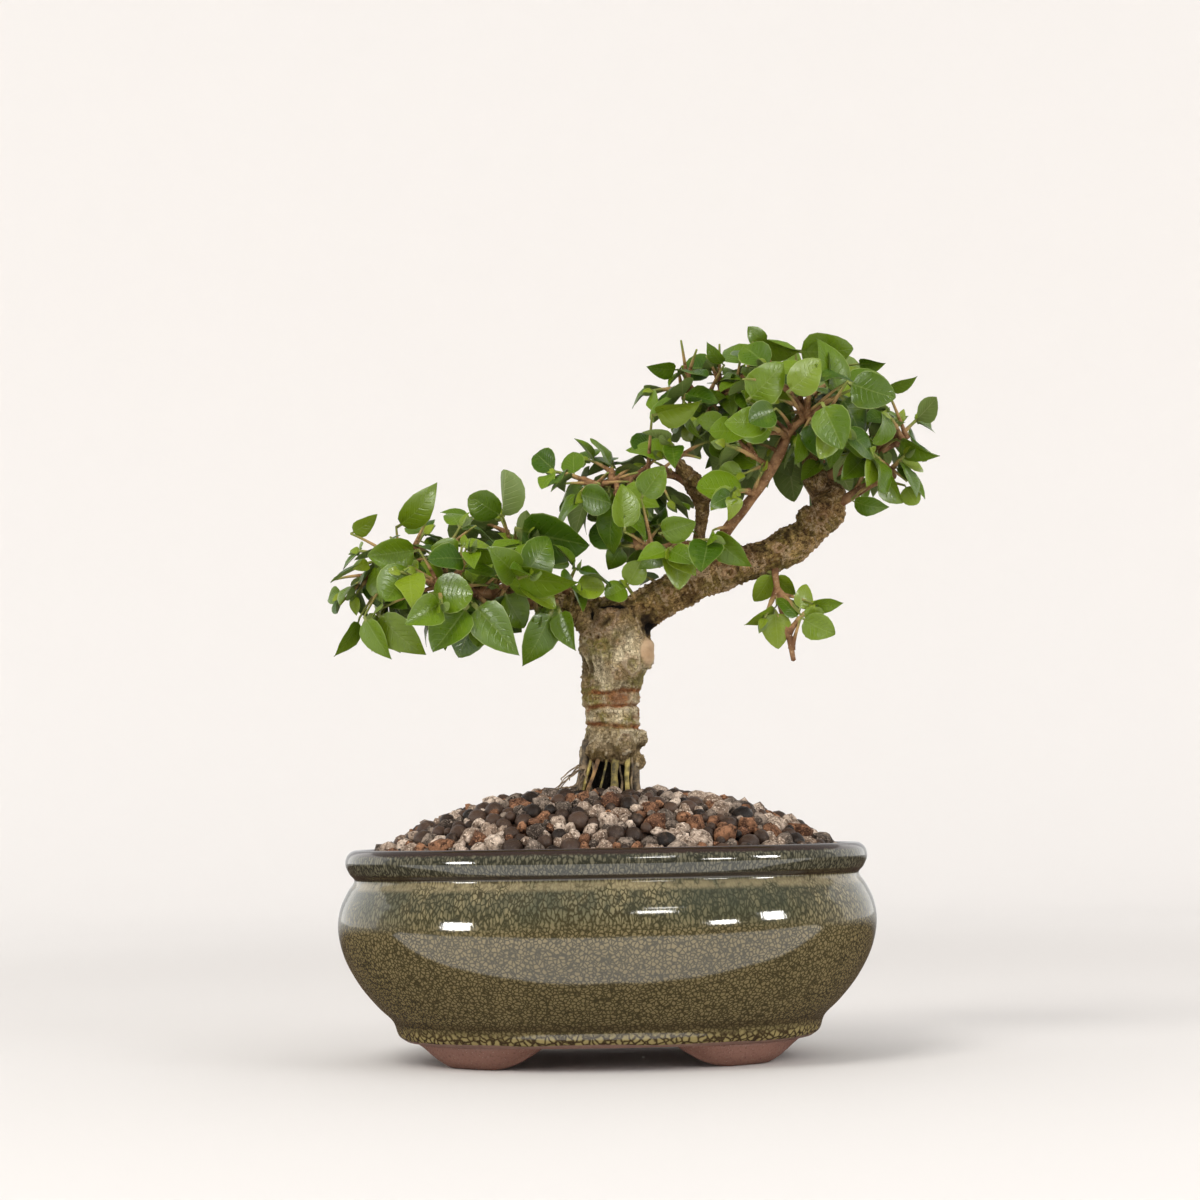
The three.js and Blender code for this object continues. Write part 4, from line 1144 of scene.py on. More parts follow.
def bark_at(spot, guide):
    """How far the bark stands out at a spot, in mm, and its shares of mark, hollow (shaded dark as painted
    shade), bare wood and red growth, then how far it is trunk bark, how much it is darkened towards its
    top as painted shade under the crown and towards its foot, and its place on a straightened limb."""
    middle, radius, normal, side, along = guide
    out = spot - middle
    local = (out @ normal, out @ side, along)
    x, y, z = spot
    stray = lumps(spot, 0.16)
    past = max((z - 205) / 5, min((abs(x - 4.5) - 14.5) / 4, (z - 191) / 4)) + 1.3 * stray
    pale = within(0.5 - past * 0.5) if abs(x - 4.5) < 34 else 0.0
    relief, mark, hollow = 0.0, 0.0, 0.0
    if pale > 0:
        trunk, mark = trunk_relief(local, spot)
        relief, mark = pale * trunk, pale * mark
    if pale < 1:
        relief += (1 - pale) * bough_relief(local, radius)
    for ex, ez, wide, high, lean, dark in EYES:
        if y < 2 and abs(x - ex) < 9 and abs(z - ez) < 9:
            c, s = math.cos(math.radians(lean)), math.sin(math.radians(lean))
            across, up = (x - ex) * c + (z - ez) * s, (z - ez) * c - (x - ex) * s
            gap = math.hypot(across / wide, up / high) + 0.25 * noise.noise((x * 0.5, 3.0, z * 0.5))
            slit = math.hypot(across / (wide * 0.34), up / (high * 0.62))
            relief = relief * min(1.0, 0.3 + gap * 0.5) + 0.75 * hump(gap - 1.0, 0.3)
            relief -= (0.3 + 1.5 * dark) * hump(slit, 1.0)
            hollow = max(hollow, dark * hump(slit, 0.9))
            mark = max(mark, 0.3 * hump(gap - 1.0, 0.35))
    for hx, hy, hz, wide, thick, high, deep in HOLLOWS:
        gap = reach_of(spot, (hx, hy, hz), (wide, thick, high)) + 0.45 * lumps(spot, 0.4)
        if gap < 2.2:
            relief -= deep * hump(max(0, gap), 0.9)
            hollow = max(hollow, hump(max(0, gap), 0.95))
    bare = within((1.0 - reach_of(spot, *KNOT) - 0.15 * stray) / 0.3)
    relief *= 1 - 0.9 * bare
    # Below the bark's edge the core is painted near black: painted shade in the gap between the roots.
    if z < 139.5:
        inner = math.hypot(x - 2.5, y - 1)
        hollow = max(hollow, min(1.0, (139.5 - z) / 3) * within((11.8 - inner) / 1.6))
    red = max(hump(math.dist(spot, row[:3]), row[3]) for row in RED_SPOTS)
    # Painted shade: the trunk darkens towards its top, under the crown. It also darkens towards its foot.
    damp = max(within((z - 193 - 3 * stray) / 9), within((156 - z) / 14)) * (1 - bare)
    return relief, mark, hollow, bare, red, pale, damp, local


def read_vectors(vertices, label):
    """One direction or place for each vertex, as rows."""
    rows = np.zeros(len(vertices) * 3)
    vertices.foreach_get(label, rows)
    return rows.reshape(-1, 3)


vertices = wood.data.vertices
spots = (read_vectors(vertices, "co") - (POT_X, 0, 0)) * 1000
facing = read_vectors(vertices, "normal")
layers = np.zeros((len(spots), len(BARK_LAYERS)), np.float32)
straight = np.zeros((len(spots), 3), np.float32)
for i, spot in enumerate(spots):
    *layers[i], straight[i] = bark_at(spot, guides[finder.find(spot)[1]])
spots += facing * layers[:, :1] * (BOUGH_ROUGHNESS + (1 - BOUGH_ROUGHNESS) * layers[:, 5:6])
vertices.foreach_set("co", placed(spots).ravel())
for place, label in enumerate(BARK_LAYERS):
    carry(wood, label, layers[:, place])
carry(wood, "grain", straight, "FLOAT_VECTOR")
wood.data.update()


def bark_finish():
    """Bark: grey-beige with olive growth on the trunk, brown with moss and rust on the boughs."""
    finish = Finish("privet_bark")
    relief, mark, hollow, bare, red, pale_bark, damp = (carried_in(finish, label) for label in BARK_LAYERS)
    patches, grit = clouds_in(finish, 95.0, 900.0)
    grain = finish.stretched(carried_in(finish, "grain", "Vector"), 1.7)
    fibre = finish.noise(0.62, 6.0, grain, Roughness=0.65, Distortion=1.4)
    split = (finish.cells(0.46, grain) + fibre * 0.16).step(0.06, 0.17, 1.0, 0.0)
    moss = finish.noise(70.0, 5.0, Roughness=0.7).step(0.47, 0.60)
    swirl = abs(finish.noise(0.2, 2.0, grain, Roughness=0.5, Distortion=3.0) - 0.5)
    scratch = swirl.step(0.010, 0.040, 1.0, 0.0) * fibre.step(0.40, 0.48)

    trunk = patches.step(0.35, 0.65).mix((0.44, 0.325, 0.165), (0.82, 0.70, 0.46))
    trunk = trunk.towards((0.26, 0.235, 0.045), moss * 0.72)
    # The trunk darkened high up as painted shade under the crown, and darker towards its foot.
    trunk = trunk.towards((0.17, 0.10, 0.036), damp * patches.step(0.3, 0.55) * 0.82)
    bough = patches.step(0.38, 0.62).mix((0.20, 0.118, 0.038), (0.52, 0.34, 0.13))
    bough = bough.towards((0.19, 0.16, 0.034), moss * 0.6)
    bough = bough.towards(fibre.mix((0.13, 0.05, 0.025), (0.36, 0.17, 0.10)), red * 0.7)
    skin = pale_bark.mix(bough, trunk)
    dark = pale_bark.mix((0.034, 0.018, 0.007), (0.070, 0.046, 0.016))
    # Darker where the relief is low: partly the bark's own colour, partly painted shade in the cracks.
    skin = skin.towards(dark, relief.step(-1.0, 0.05, 1.0, 0.0) * 0.88)
    skin = skin.towards(dark, split * pale_bark.between(0.6, 0.32))
    pale = pale_bark.mix((0.58, 0.42, 0.25), (0.72, 0.62, 0.44))
    # Paler on the ridges of the relief: partly the bark's own colour, partly painted highlight.
    skin = skin.towards(pale, relief.step(0.1, 0.9) * 0.6)
    threads = pale_bark.mix((0.085, 0.05, 0.025), (0.20, 0.145, 0.072))
    skin = skin.towards(threads, fibre.step(0.50, 0.66) * pale_bark.between(0.5, 0.26))
    skin = skin.towards(dark, scratch * 0.72)
    rust = fibre.step(0.35, 0.65).mix((0.14, 0.042, 0.018), (0.46, 0.18, 0.065))
    skin = skin.towards(rust, mark * 0.92)
    bare_wood = patches.step(0.3, 0.7).mix((0.38, 0.245, 0.135), (0.56, 0.40, 0.25))
    skin = skin.towards(bare_wood, bare)
    # Painted shade: near black in the hollows, the eye slits and the gap under the bark.
    skin = skin.towards((0.010, 0.007, 0.005), hollow.step(0.15, 0.75))
    roughness = bare.step(0.0, 1.0, 0.82, 0.62)
    finish.set(Base_Color=skin, Roughness=roughness, Specular_IOR_Level=0.1)
    height = grit * 0.5 + fibre - split.calc("MAXIMUM", scratch) * 0.8
    finish.relief(height * bare.step(0.0, 1.0, 1.0, 0.12), 0.85, 0.0009)
    return finish.material


wood.data.materials.append(bark_finish())
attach(wood, "root")
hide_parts("tree_wood")

# The roots: below the edge of the bark the trunk stands on a few old roots that part over a gap,
# where the core is painted near black as painted shade. They differ in colour and girth, and fine
# rootlets curl over the granules on the left.
ROOTS = {
    "grey": [
        [(-6.8, -4, 147, 3.6), (-8.6, -5.4, 139, 2.5), (-9.8, -6.2, 130, 2.1), (-13, -8, 118, 2.6)],
        [(12.5, -4, 139, 3.6), (13.4, -5, 132, 2.7), (14.2, -5.5, 125, 2.3), (17, -7, 116, 2.6)],
        [(7.6, -8.6, 141, 0.8), (7.0, -9.6, 134, 0.5), (8.0, -10.4, 128, 0.5), (7.2, -11.8, 119, 0.8)],
        [(12.2, -8, 140, 0.9), (12.9, -9.2, 133, 0.6), (12.2, -10, 127, 0.6), (13.4, -11, 118, 0.9)],
        [(-6.4, -7.2, 141, 0.9), (-5.2, -8.8, 134, 0.5), (-6.6, -9.8, 127, 0.5), (-5.0, -11, 119, 0.7)],
        [(10, 8, 143, 4.4), (12, 9, 130, 3.8), (15, 11, 117, 3.6)],
        [(1, 9, 143, 4.8), (0, 11, 130, 4.0), (-2, 14, 117, 3.8)],
        [(-7, 5, 143, 4.2), (-9.5, 7, 130, 3.6), (-13, 9, 117, 3.4)],
    ],
    "olive": [
        [
            (4.8, -9, 143, 3.0), (4.9, -10.8, 137.5, 1.9), (4.3, -11.8, 131, 1.6),
            (4.4, -12.6, 126, 1.9), (4, -14, 118, 2.3),
        ],
        [
            (1.6, -9.5, 142, 1.0), (0.7, -11, 136, 0.5), (-0.8, -12, 130, 0.5), (-2.4, -12.6, 124, 0.6),
            (-4.5, -13.6, 118, 0.8),
        ],
    ],
    "orange": [
        [
            (-2.4, -8.4, 142, 1.8), (-3.2, -10, 138, 1.05), (-5.4, -11, 131, 0.85),
            (-7.6, -11.8, 125.5, 0.95), (-10, -12.8, 118, 1.3),
        ],
    ],
    "yellow": [
        [
            (10.2, -8.6, 141, 1.7), (10.5, -10.2, 135, 1.2), (10.1, -11, 130, 1.1),
            (10.4, -11.6, 125, 1.2), (10.6, -12.6, 118, 1.4),
        ],
        [
            (-5.4, -7.4, 141, 1.2), (-6.8, -8.6, 136, 0.7), (-8.6, -9.4, 130, 0.7),
            (-11.5, -10.6, 119, 0.9),
        ],
    ],
}
# Each tone of root bark, from its dark to its pale.
ROOT_COLOURS = {
    "grey": ((0.045, 0.032, 0.017), (0.27, 0.19, 0.095)),
    "olive": ((0.050, 0.040, 0.010), (0.27, 0.205, 0.045)),
    "orange": ((0.10, 0.045, 0.015), (0.42, 0.24, 0.085)),
    "yellow": ((0.10, 0.075, 0.016), (0.46, 0.36, 0.10)),
    "rootlet": ((0.13, 0.085, 0.045), (0.33, 0.24, 0.14)),
}
ROOT_SIDES = 18
ROOTLETS = 11
ROOTLET_SIDES = 6
ROOTLET_BENDS = 7
ROOTLET_STRIDE = 2.3
ROOTLETS_ABOVE_BED = 4.4


def root_finish(name):
    """Root bark between a dark and a pale tone of its own, with fine cross marks."""
    root = Finish(name + "_root")
    dark, pale = ROOT_COLOURS[name]
    patches, grit = clouds_in(root, 240.0, 1200.0)
    tone = patches.step(0.34, 0.66).mix(dark, pale)
    tone = tone.towards(tuple(0.4 * c for c in dark), grit.step(0.5, 0.7) * 0.5)
    root.set(Base_Color=tone, Roughness=0.75)
    root.relief(grit, 0.6, 0.0005)
    return root.material


for tone, strands in ROOTS.items():
    parts = [tube(rows, ROOT_SIDES, 0.8, uneven(30 + i, 0.24)) for i, rows in enumerate(strands)]
    roots = joined_mesh("roots_" + tone, parts)
    roots.data.materials.append(root_finish(tone))
    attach(roots, "root")
    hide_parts("tree_wood")

rng = random.Random(9)
parts = []
for _ in range(ROOTLETS):
    x, y, z = rng.uniform(-12, -9), rng.uniform(-10, -4), rng.uniform(128, 138)
    heading = rng.uniform(math.pi * 0.92, math.pi * 1.45)
    rows = [(x + 3, y + 2, z, 0.5)]
    for step in range(ROOTLET_BENDS):
        rows.append((x, y, z, 0.45 - 0.035 * step))
        heading += rng.uniform(-0.75, 0.75)
        x += ROOTLET_STRIDE * math.cos(heading)
        y += ROOTLET_STRIDE * math.sin(heading)
        rest = mound_height(mound_share(x, y)) + ROOTLETS_ABOVE_BED
        z = max(z - rng.uniform(0.4, 2.8), rest + rng.uniform(-0.6, 1.4))
    parts.append(tube(rows, ROOTLET_SIDES, 0.9))
rootlets = joined_mesh("rootlets", parts)
rootlets.data.materials.append(root_finish("rootlet"))
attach(rootlets, "root")
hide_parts("tree_wood")

# The shoots. Each springs from the nearest wood, brown at its foot and green at its tip. Small side
# shoots between them fill the pads. A pad has its middle and its shoots: tip, pairs, leaf length.
PADS = {
    "left": ((-72, 0, 222), [
        (-122, -5, 218, 3, 17), (-115, 8, 240, 3, 18), (-108, -22, 231, 3, 25), (-103, -16, 207, 3, 26),
        (-84, 2, 247, 3, 24), (-92, -38, 225, 3, 25), (-73, -44, 210, 3, 28), (-66, -6, 249, 3, 24),
        (-60, -38, 234, 3, 24), (-50, -28, 206, 3, 26), (-47, 10, 254, 2, 28), (-33, -14, 243, 3, 29),
        (-33, -42, 222, 3, 28), (-30, -22, 205, 3, 26), (-68, 44, 229, 3, 25), (-40, 38, 236, 3, 24),
        (-98, 16, 216, 3, 24), (-12, -20, 227, 2, 22),
    ]),
    "middle": ((15, 2, 250), [
        (-21, -2, 275, 3, 18), (-8, -18, 262, 3, 24), (6, 8, 279, 3, 22), (8, -28, 254, 3, 27),
        (23, -20, 267, 3, 23), (10, -14, 238, 3, 22), (20, 30, 262, 3, 24), (50, -32, 238, 2, 29),
        (34, -18, 285, 3, 25), (12, -12, 219, 1, 19),
    ]),
    "crown": ((90, 4, 284), [
        (26, 4, 314, 3, 19), (40, -6, 321, 3, 20), (40, -22, 303, 3, 25), (57, 8, 325, 3, 21),
        (75, -8, 328, 3, 26), (78, -42, 316, 3, 26), (96, 2, 322, 3, 27), (98, -42, 311, 2, 29),
        (114, -12, 317, 3, 27), (117, -36, 306, 3, 26), (132, -4, 309, 3, 23), (135, -24, 296, 3, 25),
        (151, 2, 297, 2, 22), (112, -44, 286, 3, 27), (78, -46, 288, 3, 26), (58, -40, 281, 3, 25),
        (127, -29, 277, 3, 24), (143, -14, 278, 3, 21), (64, -36, 260, 3, 23), (50, 38, 306, 3, 24),
        (80, 48, 318, 3, 24), (112, 42, 314, 3, 24), (138, 26, 292, 3, 23), (64, 44, 284, 3, 25),
        (108, 44, 284, 3, 25),
    ]),
    "hanging": ((88, -4, 204), [(97, -13, 207, 3, 17), (76, -12, 203, 2, 22)]),
}
LEAFY_LIMBS = ("middle_left", "hanging_twig")
LIMB_FOOT_SHARE = 0.3
TWIG_SHORTEST = 15.0
BARE_SHARE = 0.36
SIDE_SHOOTS = 2
SIDE_REACH = 15.0
SIDE_LEAF_SHARE = 0.82
# Bare stalks that stand out of the pads, by their tips.
BARE_TIPS = {
    "crown": [
        (39.7, -8, 335.9), (58.5, 4, 336), (67.8, -6, 327), (65.6, -58, 308), (113, -60, 306),
        (47, -10, 331),
        (145, -6, 267), (52, 2, 330), (84, 0, 333), (128, -16, 312),
    ],
    "left": [(-81.6, -4, 253), (-122, -18, 212), (-100, 4, 246), (-126, 2, 226), (-58, -18, 248)],
    "middle": [
        (18, -16, 272), (26, -15, 277), (14, -13, 268), (-16, -12, 268), (38, -20, 279), (33, -20, 273),
        (47, -24, 277),
        (4, -24, 271), (0, -22, 266),
    ],
}
# Leaves that stand out on their own: where the stalk starts, where the leaf's tip is, its kind, how
# much of its face is turned to the front, and its tone from dark to pale.
SINGLE_LEAVES = {
    "left": [
        (-79, -36, 215, -60, -46, 214, 1, 1.0, 0.45), (-88, -34, 228, -98, -44, 212, 1, 0.95, 0.5),
        (-61, -38, 209, -77, -42, 189, 0, 1.0, 0.35), (-59, -36, 210, -39, -44, 187, 3, 1.0, 0.4),
        (-23, -22, 208, -33, -28, 181, 3, 0.95, 0.35), (-20, -22, 208, -14, -28, 189, 3, 0.95, 0.45),
        (-46, -36, 224, -13, -42, 212, 3, 0.6, 0.6), (-96, -10, 249, -72, -18, 260, 3, 0.65, 0.75),
        (-46, -4, 254, -61, -12, 261, 1, 0.9, 0.35), (-40, -14, 247, -8, -24, 235, 0, 0.8, 0.1),
        (-110, -24, 206, -101, -28, 185, 3, 0.85, 0.65), (-104, -26, 208, -88, -32, 184, 3, 0.9, 0.75),
        (-113, -16, 206, -118, -20, 186, 3, 0.6, 0.5), (-118, -4, 247, -104, -8, 252, 3, 0.6, 0.8),
        (-62, -32, 236, -40, -40, 232, 2, 0.4, 0.55), (-84, -30, 236, -106, -36, 232, 0, 0.7, 0.55),
    ],
    "middle": [
        (11, -34, 242, 12, -40, 263, 0, 0.85, 0.75), (19, -30, 258, 29, -38, 271, 0, 1.0, 0.45),
        (27, -26, 242, 43, -34, 245, 0, 0.9, 0.6), (52, -26, 243, 60, -34, 222, 2, 0.55, 0.5),
        (-10, -20, 262, 4, -28, 256, 1, 0.9, 0.3),
    ],
    "crown": [
        (102, -50, 298, 110, -56, 277, 0, 1.0, 0.35), (86, -50, 303, 103, -58, 313, 0, 0.85, 0.8),
        (68, -46, 300, 85, -56, 313, 0, 0.8, 0.7), (81, -48, 296, 69, -55, 289, 1, 0.9, 0.2),
        (73, -16, 333, 93, -24, 325, 2, 0.55, 0.75), (93, -18, 328, 118, -26, 323, 0, 0.6, 0.6),
        (114, -46, 308, 134, -52, 298, 0, 0.8, 0.3), (25, -24, 298, 47, -34, 300, 2, 0.6, 0.8),
        (80, -8, 333, 71, -12, 340, 0, 0.9, 0.5), (122, -14, 322, 134, -20, 320, 2, 0.7, 0.3),
        (136, -12, 310, 150, -18, 312, 2, 0.4, 0.5), (140, -14, 286, 157, -20, 275, 2, 0.5, 0.5),
        (132, -18, 268, 140, -24, 255, 0, 0.8, 0.7), (118, -12, 258, 131, -18, 248, 2, 0.5, 0.3),
        (143, -14, 264, 147, -18, 255, 1, 0.9, 0.8), (60, -6, 324, 50, -12, 331, 2, 0.6, 0.4),
        (38, -8, 322, 24, -14, 320, 2, 0.4, 0.3),
    ],
    "hanging": [
        (81, -5, 225, 73, -3, 211, 0, 0.8, 0.8), (81, -5, 224, 91, -3, 213, 2, 0.85, 0.75),
        (82, -10, 209, 71, -14, 196, 3, 0.6, 0.8), (81, -10, 207, 82, -12, 189, 0, 1.0, 0.85),
        (93, -13, 203, 107, -16, 192, 0, 0.9, 0.75), (92, -13, 206, 98, -14, 218, 0, 0.8, 0.85),
        (97, -14, 210, 111, -16, 203, 3, 0.6, 0.65), (93, -13, 204, 105, -16, 204, 3, 0.8, 0.8),
    ],
}
# What the leaves leave in sight from the front: a line's start and end in x and z, how near a leaf
# may come to it as a share of the leaf's length, and the depth from which back they don't hide it.
IN_SIGHT = [
    ((58, 234), (92, 293), 0.36, -9), ((38, 264), (50, 276), 0.5, -9), ((20, 272), (40, 270), 0.3, -9),
    ((62, 208), (68, 212), 0.3, 20),
]
INSIDE_BOX = 9
BARE_TIP_LEAF_LENGTH = 19
LIMB_STEM_SIDES = 14
TWIG_SIDES = 8
GREEN_STEM_SIDES = 7
MAIN_STEM_RADIUS = 1.35
SIDE_STEM_RADIUS = 1.0


def bend_point(bend, t):
    """A point on a plain bend through a start and an end, drawn towards a third point."""
    start, pull, end = bend
    return (1 - t) ** 2 * start + 2 * (1 - t) * t * pull + t**2 * end


def bend_way(bend, t):
    """Which way a bend runs at a share of its length."""
    way = bend_point(bend, min(1, t + 1e-4)) - bend_point(bend, max(0, t - 1e-4))
    return way / np.linalg.norm(way)


def woody_points():
    """Where a shoot can spring from: the place, the limb's radius and the limb's name past its foot."""
    spots, radii, names = [], [], []
    for limb, rows in LIMBS.items():
        rows = np.array(rows, float)
        steps = len(rows) * 4
        for i in range(2, steps + 1):
            t = i / steps
            spots.append(curve_point(rows[:, :3], t))
            radii.append(np.interp(t * (len(rows) - 1), range(len(rows)), rows[:, 3]))
            names.append(limb if limb in LEAFY_LIMBS and t > LIMB_FOOT_SHARE else None)
    return np.array(spots), np.array(radii), names


def new_shoot(pad, tip, pairs, leaf_length, woody, side_shoot=True):
    """A shoot that springs from the nearest wood that leaves it room, and rises on its way out."""
    spots, radii, names = woody
    tip = np.array(tip, float)
    lengths = np.linalg.norm(spots - tip, axis=1)
    lengths[lengths < TWIG_SHORTEST] = 1e9
    nearest = int(np.argmin(lengths))
    length = lengths[nearest]
    pull = (spots[nearest] + tip) / 2 + (0, 0, 0.08 * length)
    return {
        "pad": pad, "middle": np.array(PADS[pad][0], float), "bend": (spots[nearest], pull, tip),
        "pairs": pairs, "leaf_length": leaf_length, "bare": max(BARE_SHARE, (radii[nearest] + 3) / length),
        "limb": names[nearest], "length": length, "side_shoot": side_shoot,
    }


woody = woody_points()
shoots = []
for pad, (_, rows) in PADS.items():
    for *tip, pairs, leaf_length in rows:
        shoot = new_shoot(pad, tip, pairs, leaf_length, woody, side_shoot=False)
        shoots.append(shoot)
        single = f"leafy_shoot_{pad}_{len(shoots):02d}"
        shoot["node"] = "leafy_limb_" + shoot["limb"] if shoot["limb"] else single
main_shoots = list(shoots)
for pad, rows in SINGLE_LEAVES.items():
    for row in rows:
        shoots.append(new_shoot(pad, row[:3], 0, 0, woody))
        shoots[-1]["set_leaf"] = row[3:]
box_low, box_high = (np.array(corner) * 1000 - (POT_X * 1000, 0, 0) for corner in cad_box)
rng = random.Random(31)
stem_spots = [bend_point(shoot["bend"], t) for shoot in main_shoots for t in (0.12, 0.25, 0.38, 0.5)]
spots, radii, names = woody
radii = np.append(radii, [1.0] * len(stem_spots))
woody = (np.vstack([spots, stem_spots]), radii, names + [None] * len(stem_spots))
for shoot in main_shoots:
    for number in range(SIDE_SHOOTS + (shoot["pad"] != "left")):
        shift = np.array([rng.uniform(-1, 1), rng.uniform(-1, 1), rng.uniform(-0.8, 0.8)]) * SIDE_REACH
        if number == SIDE_SHOOTS:
            shift[1] = abs(shift[1])
        inwards = (shoot["middle"] - shoot["bend"][2]) * rng.uniform(0.2, 0.55)
        tip = shoot["bend"][2] + shift + inwards
        if shoot["pad"] == "hanging" or (tip - INSIDE_BOX < box_low).any():
            continue
        if (tip + INSIDE_BOX > box_high).any():
            continue
        leaf_length = shoot["leaf_length"] * SIDE_LEAF_SHARE
        shoots.append(new_shoot(shoot["pad"], tip, rng.choice((2, 3)), leaf_length, woody))
for pad, tips in BARE_TIPS.items():
    shoots += [new_shoot(pad, tip, 0, BARE_TIP_LEAF_LENGTH, woody) for tip in tips]


def hides_wood(leaf):
    """Whether a leaf would stand before a limb that is seen from the front."""
    base, along, _, _, _, length = leaf
    middle = base + along * length * 0.5
    for start, end, near, front in IN_SIGHT:
        start, way = np.array(start, float), np.subtract(end, start)
        spot = middle[[0, 2]] - start
        share = within((spot @ way) / (way @ way))
        if middle[1] <= front and np.linalg.norm(spot - way * share) < length * near:
            return True
    return False


def swollen(places, amount):
    """A stem that is a little thicker where its leaves leave it."""
    def shape(along, turn):
        return 1 + amount * sum(hump(along - place, 0.9) for place in places)
    return shape


def leaf_spot(shoot, pair):
    """How far out on a shoot a pair of leaves sits."""
    step = pair / (shoot["pairs"] - 1) if shoot["pairs"] > 1 else 1
    return shoot["bare"] + (1 - shoot["bare"]) * (0.22 + 0.74 * step)


def stem_part(shoot, start, end, sides):
    """A stretch of a shoot's stem as a tube, and how young it is at each of its points."""
    thick = SIDE_STEM_RADIUS if shoot["side_shoot"] else MAIN_STEM_RADIUS
    rows = []
    for i in range(6):
        t = start + (end - start) * i / 5
        flare = 0.9 * math.exp(-t * shoot["length"] / 2.5)
        rows.append((*bend_point(shoot["bend"], t), thick * (1 - 0.5 * t) + flare))
    places = [(leaf_spot(shoot, pair) - start) * shoot["length"] for pair in range(shoot["pairs"])]
    points, faces = tube(rows, sides, 1.6, swollen(places, 0.3))
    ages = np.repeat(np.linspace(start, end, (len(points) - 2) // sides), sides)
    return points, faces, list(ages) + [start, end]


def stem_piece(name, stems, finish):
    """Several stems as one piece that knows how young it is."""
    made = joined_mesh(name, [stem[:2] for stem in stems])
    carry(made, "young", np.concatenate([stem[2] for stem in stems]))
    made.data.materials.append(finish)
    return made


def stem_finish():
    """Young bark: red-brown with pale lenticels at the foot, tan further out, green at the tip."""
    stem = Finish("young_bark")
    young = carried_in(stem, "young")
    patches, grit = clouds_in(stem, 170.0, 1400.0)
    drift = young + (patches - 0.5) * 0.5
    tone = patches.step(0.35, 0.65).mix((0.15, 0.070, 0.030), (0.33, 0.185, 0.085))
    tone = tone.towards((0.40, 0.26, 0.105), drift.step(0.2, 0.55))
    tone = tone.towards((0.21, 0.24, 0.055), drift.step(0.55, 0.9))
    spots = stem.dots(620.0).step(0.10, 0.22, 0.65, 0.0) * young.step(0.3, 0.7, 1.0, 0.0)
    tone = tone.towards((0.46, 0.34, 0.22), spots)
    tone = tone.towards((0.04, 0.022, 0.012), grit.step(0.55, 0.75) * 0.5)
    stem.set(Base_Color=tone, Roughness=0.62, Specular_IOR_Level=0.14)
    stem.relief(grit, 0.5, 0.0004)
    return stem.material


young_bark = stem_finish()
stems = []
for number, (limb, rows) in enumerate(LIMBS.items()):
    if limb not in THICK_LIMBS:
        points, faces = tube(rows, LIMB_STEM_SIDES, 1.3, uneven(50 + number, 0.3))
        stems.append((points, faces, [0.0] * len(points)))
stems += [stem_part(shoot, 0.0, shoot["bare"], TWIG_SIDES) for shoot in shoots]
twigs = stem_piece("thin_limbs_and_twigs", stems, young_bark)
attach(twigs, "root")
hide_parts("tree_wood", "leafy_limb_middle_left", "leafy_limb_hanging_twig")

# The leaves, in opposite pairs, each pair turned against the last. A leaf leaves its shoot
# sideways, hangs a little and faces the light. It is drawn anew until it is clear of the wood and
# of the leaves before it. Two small ones still fold round the tip of each shoot.

# Each kind of leaf: its width, as a share of its length, and how far it curls down. Its outline:
# how much broader it is drawn, where it is widest and how sharp its tip is. Each form it grows in:
# fold along the midrib, wave of the edge, twist, and more curl.
LEAF_KINDS = [(0.68, 0.14), (0.8, 0.08), (0.6, 0.2), (0.5, 0.24)]
LEAF_OUTLINES = [(1.08, 0.86, 0.78), (1.04, 0.95, 0.56), (1.12, 0.84, 1.0), (1.15, 0.85, 1.0)]
LEAF_FORMS = [
    (0.30, 0.10, 0.30, 0.02), (0.10, -0.24, -0.5, 0.16), (0.55, 0.06, 0.5, -0.05), (0.22, 0.24, -0.25, 0.28)
]
LEAF_TILT = 0.5
LEVEL_ABOVE = 1.1
MAIN_FREEDOM = 0.4
LEAF_RINGS = (0.0, 0.1, 0.134, 0.231, 0.378, 0.55, 0.722, 0.869, 0.966, 1.0)
LEAF_ACROSS = [(-1, 0), (-0.5, 0), (0, 0), (0.5, 0), (1, 0), (0, 1)]
STALK_END = 0.1
STALK_WIDTH = 0.07
LEAF_THICKNESS = 0.014
LEAF_SEAT = 0.2
LEAF_GAP = 1.3
SISTER_GAP = 0.3
YOUNG_LENGTH = 11
LEAF_TRIES = 12
MOST_LEAVES = 4000
SEEDS_PER_SHOOT = 400
SEEDS_PER_LEAF = 20
SEED_STRIDE = 7919
MASK = 0xFFFFFFFF


def seeded_draw(seed):
    """A seeded draw from 0 to 1 that is the same everywhere."""
    state = seed & MASK

    def draw():
        nonlocal state
        state = (state + 0x6D2B79F5) & MASK
        t = ((state ^ (state >> 15)) * (state | 1)) & MASK
        t = ((t + (((t ^ (t >> 7)) * (t | 61)) & MASK)) ^ t) & MASK
        return ((t ^ (t >> 14)) & MASK) / 2**32

    return draw


def unit(vector):
    """A direction made one long."""
    return vector / np.linalg.norm(vector)


def turned(vector, axis, angle):
    """A vector turned round an axis of length one."""
    c, s = math.cos(angle), math.sin(angle)
    return vector * c + np.cross(axis, vector) * s + axis * (axis @ vector) * (1 - c)


